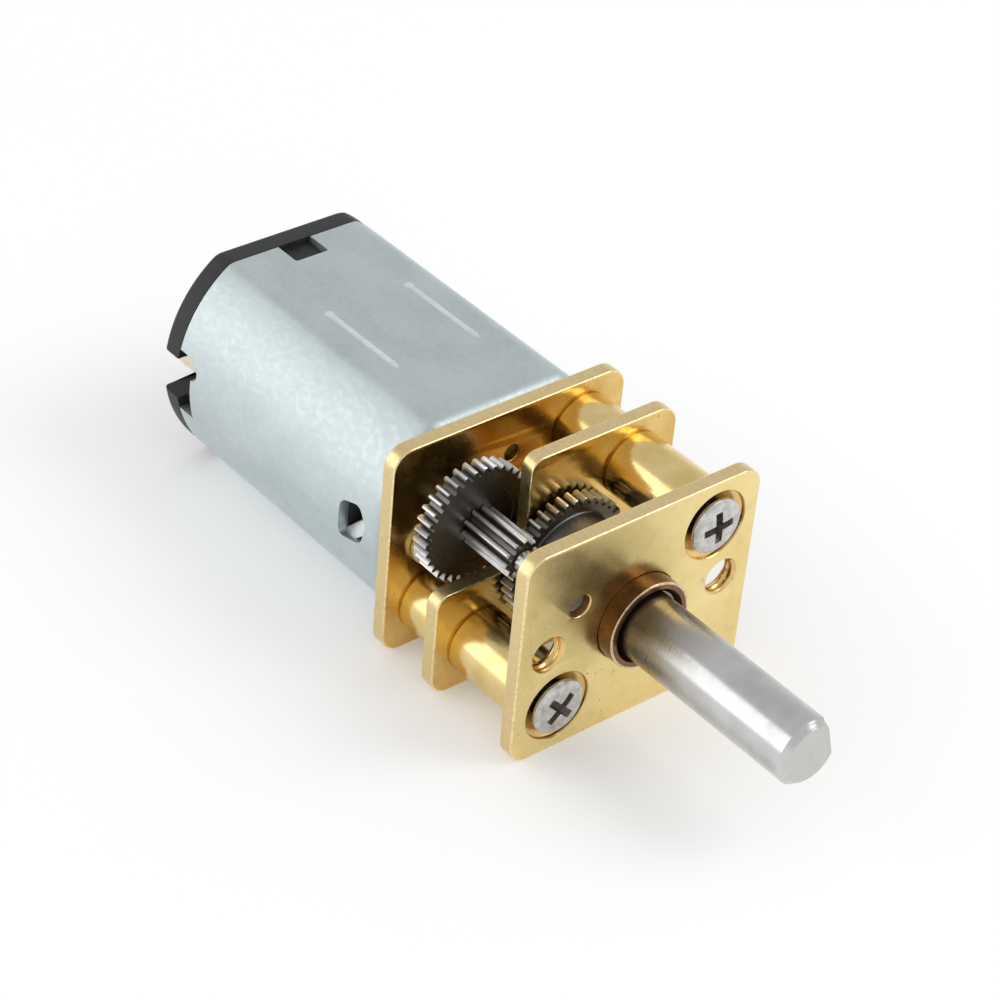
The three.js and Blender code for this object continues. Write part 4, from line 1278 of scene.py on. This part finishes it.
def make_floor():
    floor = build("floor", lambda bm: lathe(bm, [(0, 0), (0, 700)]))
    turn_mesh(floor, Matrix.Rotation(math.radians(-90), 4, "Y"))
    turn_mesh(floor, Matrix.Scale(MM, 4))
    floor.location = (MIDDLE_X * MM, 0, cad_low.z)
    f = Finish("pale_floor", metallic=0.0, roughness=0.7)
    f.colour(f.blend(f.noise(40, detail=2), (0.90, 0.90, 0.90), (0.87, 0.87, 0.87)))
    f.put(f.shader.inputs["Emission Color"], (1, 1, 1, 1))
    f.shader.inputs["Emission Strength"].default_value = 0.19
    f.shader.inputs["Specular IOR Level"].default_value = 0.1
    floor.data.materials.clear()
    floor.data.materials.append(f.material)


def make_world():
    """Soft box of light: bright round the horizon, greyer overhead."""
    world = bpy.data.worlds.new("studio")
    world.use_nodes = True
    nodes, links = world.node_tree.nodes, world.node_tree.links
    coordinates = nodes.new("ShaderNodeTexCoord")
    apart = nodes.new("ShaderNodeSeparateXYZ")
    ramp = nodes.new("ShaderNodeValToRGB")
    links.new(coordinates.outputs["Generated"], apart.inputs[0])
    links.new(apart.outputs["Z"], ramp.inputs[0])
    stops = ((0.0, 1.1), (0.12, 0.95), (0.3, 0.80), (0.6, 0.74), (1.0, 0.7))
    ramp.color_ramp.elements.remove(ramp.color_ramp.elements[1])
    for k, (place, level) in enumerate(stops):
        stop = ramp.color_ramp.elements[0] if k == 0 else ramp.color_ramp.elements.new(place)
        stop.position = place
        stop.color = (level, level, level * 1.01, 1)
    links.new(ramp.outputs[0], nodes["Background"].inputs["Color"])
    bpy.context.scene.world = world


def add_light(name, location, target, size, power):
    light = bpy.data.lights.new(name, "AREA")
    light.shape = "DISK"
    light.size = size
    light.energy = power
    lamp = bpy.data.objects.new(name, light)
    lamp.location = location
    aim = Vector(target) - Vector(location)
    lamp.rotation_euler = aim.to_track_quat("-Z", "Y").to_euler()
    bpy.context.scene.collection.objects.link(lamp)


def make_lights():
    middle = (MIDDLE_X * MM, 0, 0)
    add_light("key", (-0.170, -0.195, 0.082), middle, 0.24, 0.155)
    add_light("window", (0.09, 0.11, 0.15), (0.0, 0.01, -0.005), 0.12, 0.10)


CAMERA = {
    "azimuth": 47.90, "elevation": 36.17, "roll": 5.414,
    "target": (MIDDLE_X, 0, 0), "offset": (-0.3652, 0.5490), "distance": 123.566, "lens": 108.495,
}


def make_camera():
    azimuth, elevation, roll = (math.radians(CAMERA[k]) for k in ("azimuth", "elevation", "roll"))
    back = Vector((
        math.sin(azimuth) * math.cos(elevation),
        -math.cos(azimuth) * math.cos(elevation),
        math.sin(elevation),
    ))
    level = Vector((0, 0, 1)).cross(back).normalized()
    upright = back.cross(level)
    right = level * math.cos(roll) + upright * math.sin(roll)
    up = upright * math.cos(roll) - level * math.sin(roll)
    across, above = CAMERA["offset"]
    place = Vector(CAMERA["target"]) + right * across + up * above + back * CAMERA["distance"]
    data = bpy.data.cameras.new("camera")
    data.sensor_width = 36
    data.lens = CAMERA["lens"]
    data.clip_start, data.clip_end = 0.005, 5
    camera = bpy.data.objects.new("camera", data)
    axes = Matrix((right, up, back)).transposed().to_4x4()
    camera.matrix_world = Matrix.Translation(place * MM) @ axes
    bpy.context.scene.collection.objects.link(camera)
    bpy.context.scene.camera = camera


make_plates()
make_spacers()
make_screws()
make_bush()
make_shaft()
make_thrust_washer()
make_idler_gear()
make_idler_pinion()
make_idler_arbor()
make_output_gear()
make_motor_pinion()
make_can()
make_cap()
make_bearings()
make_terminals()
make_motor_shaft()
dress_inside()
make_floor()
make_world()
make_lights()
make_camera()
bpy.context.scene.view_settings.view_transform = "Standard"
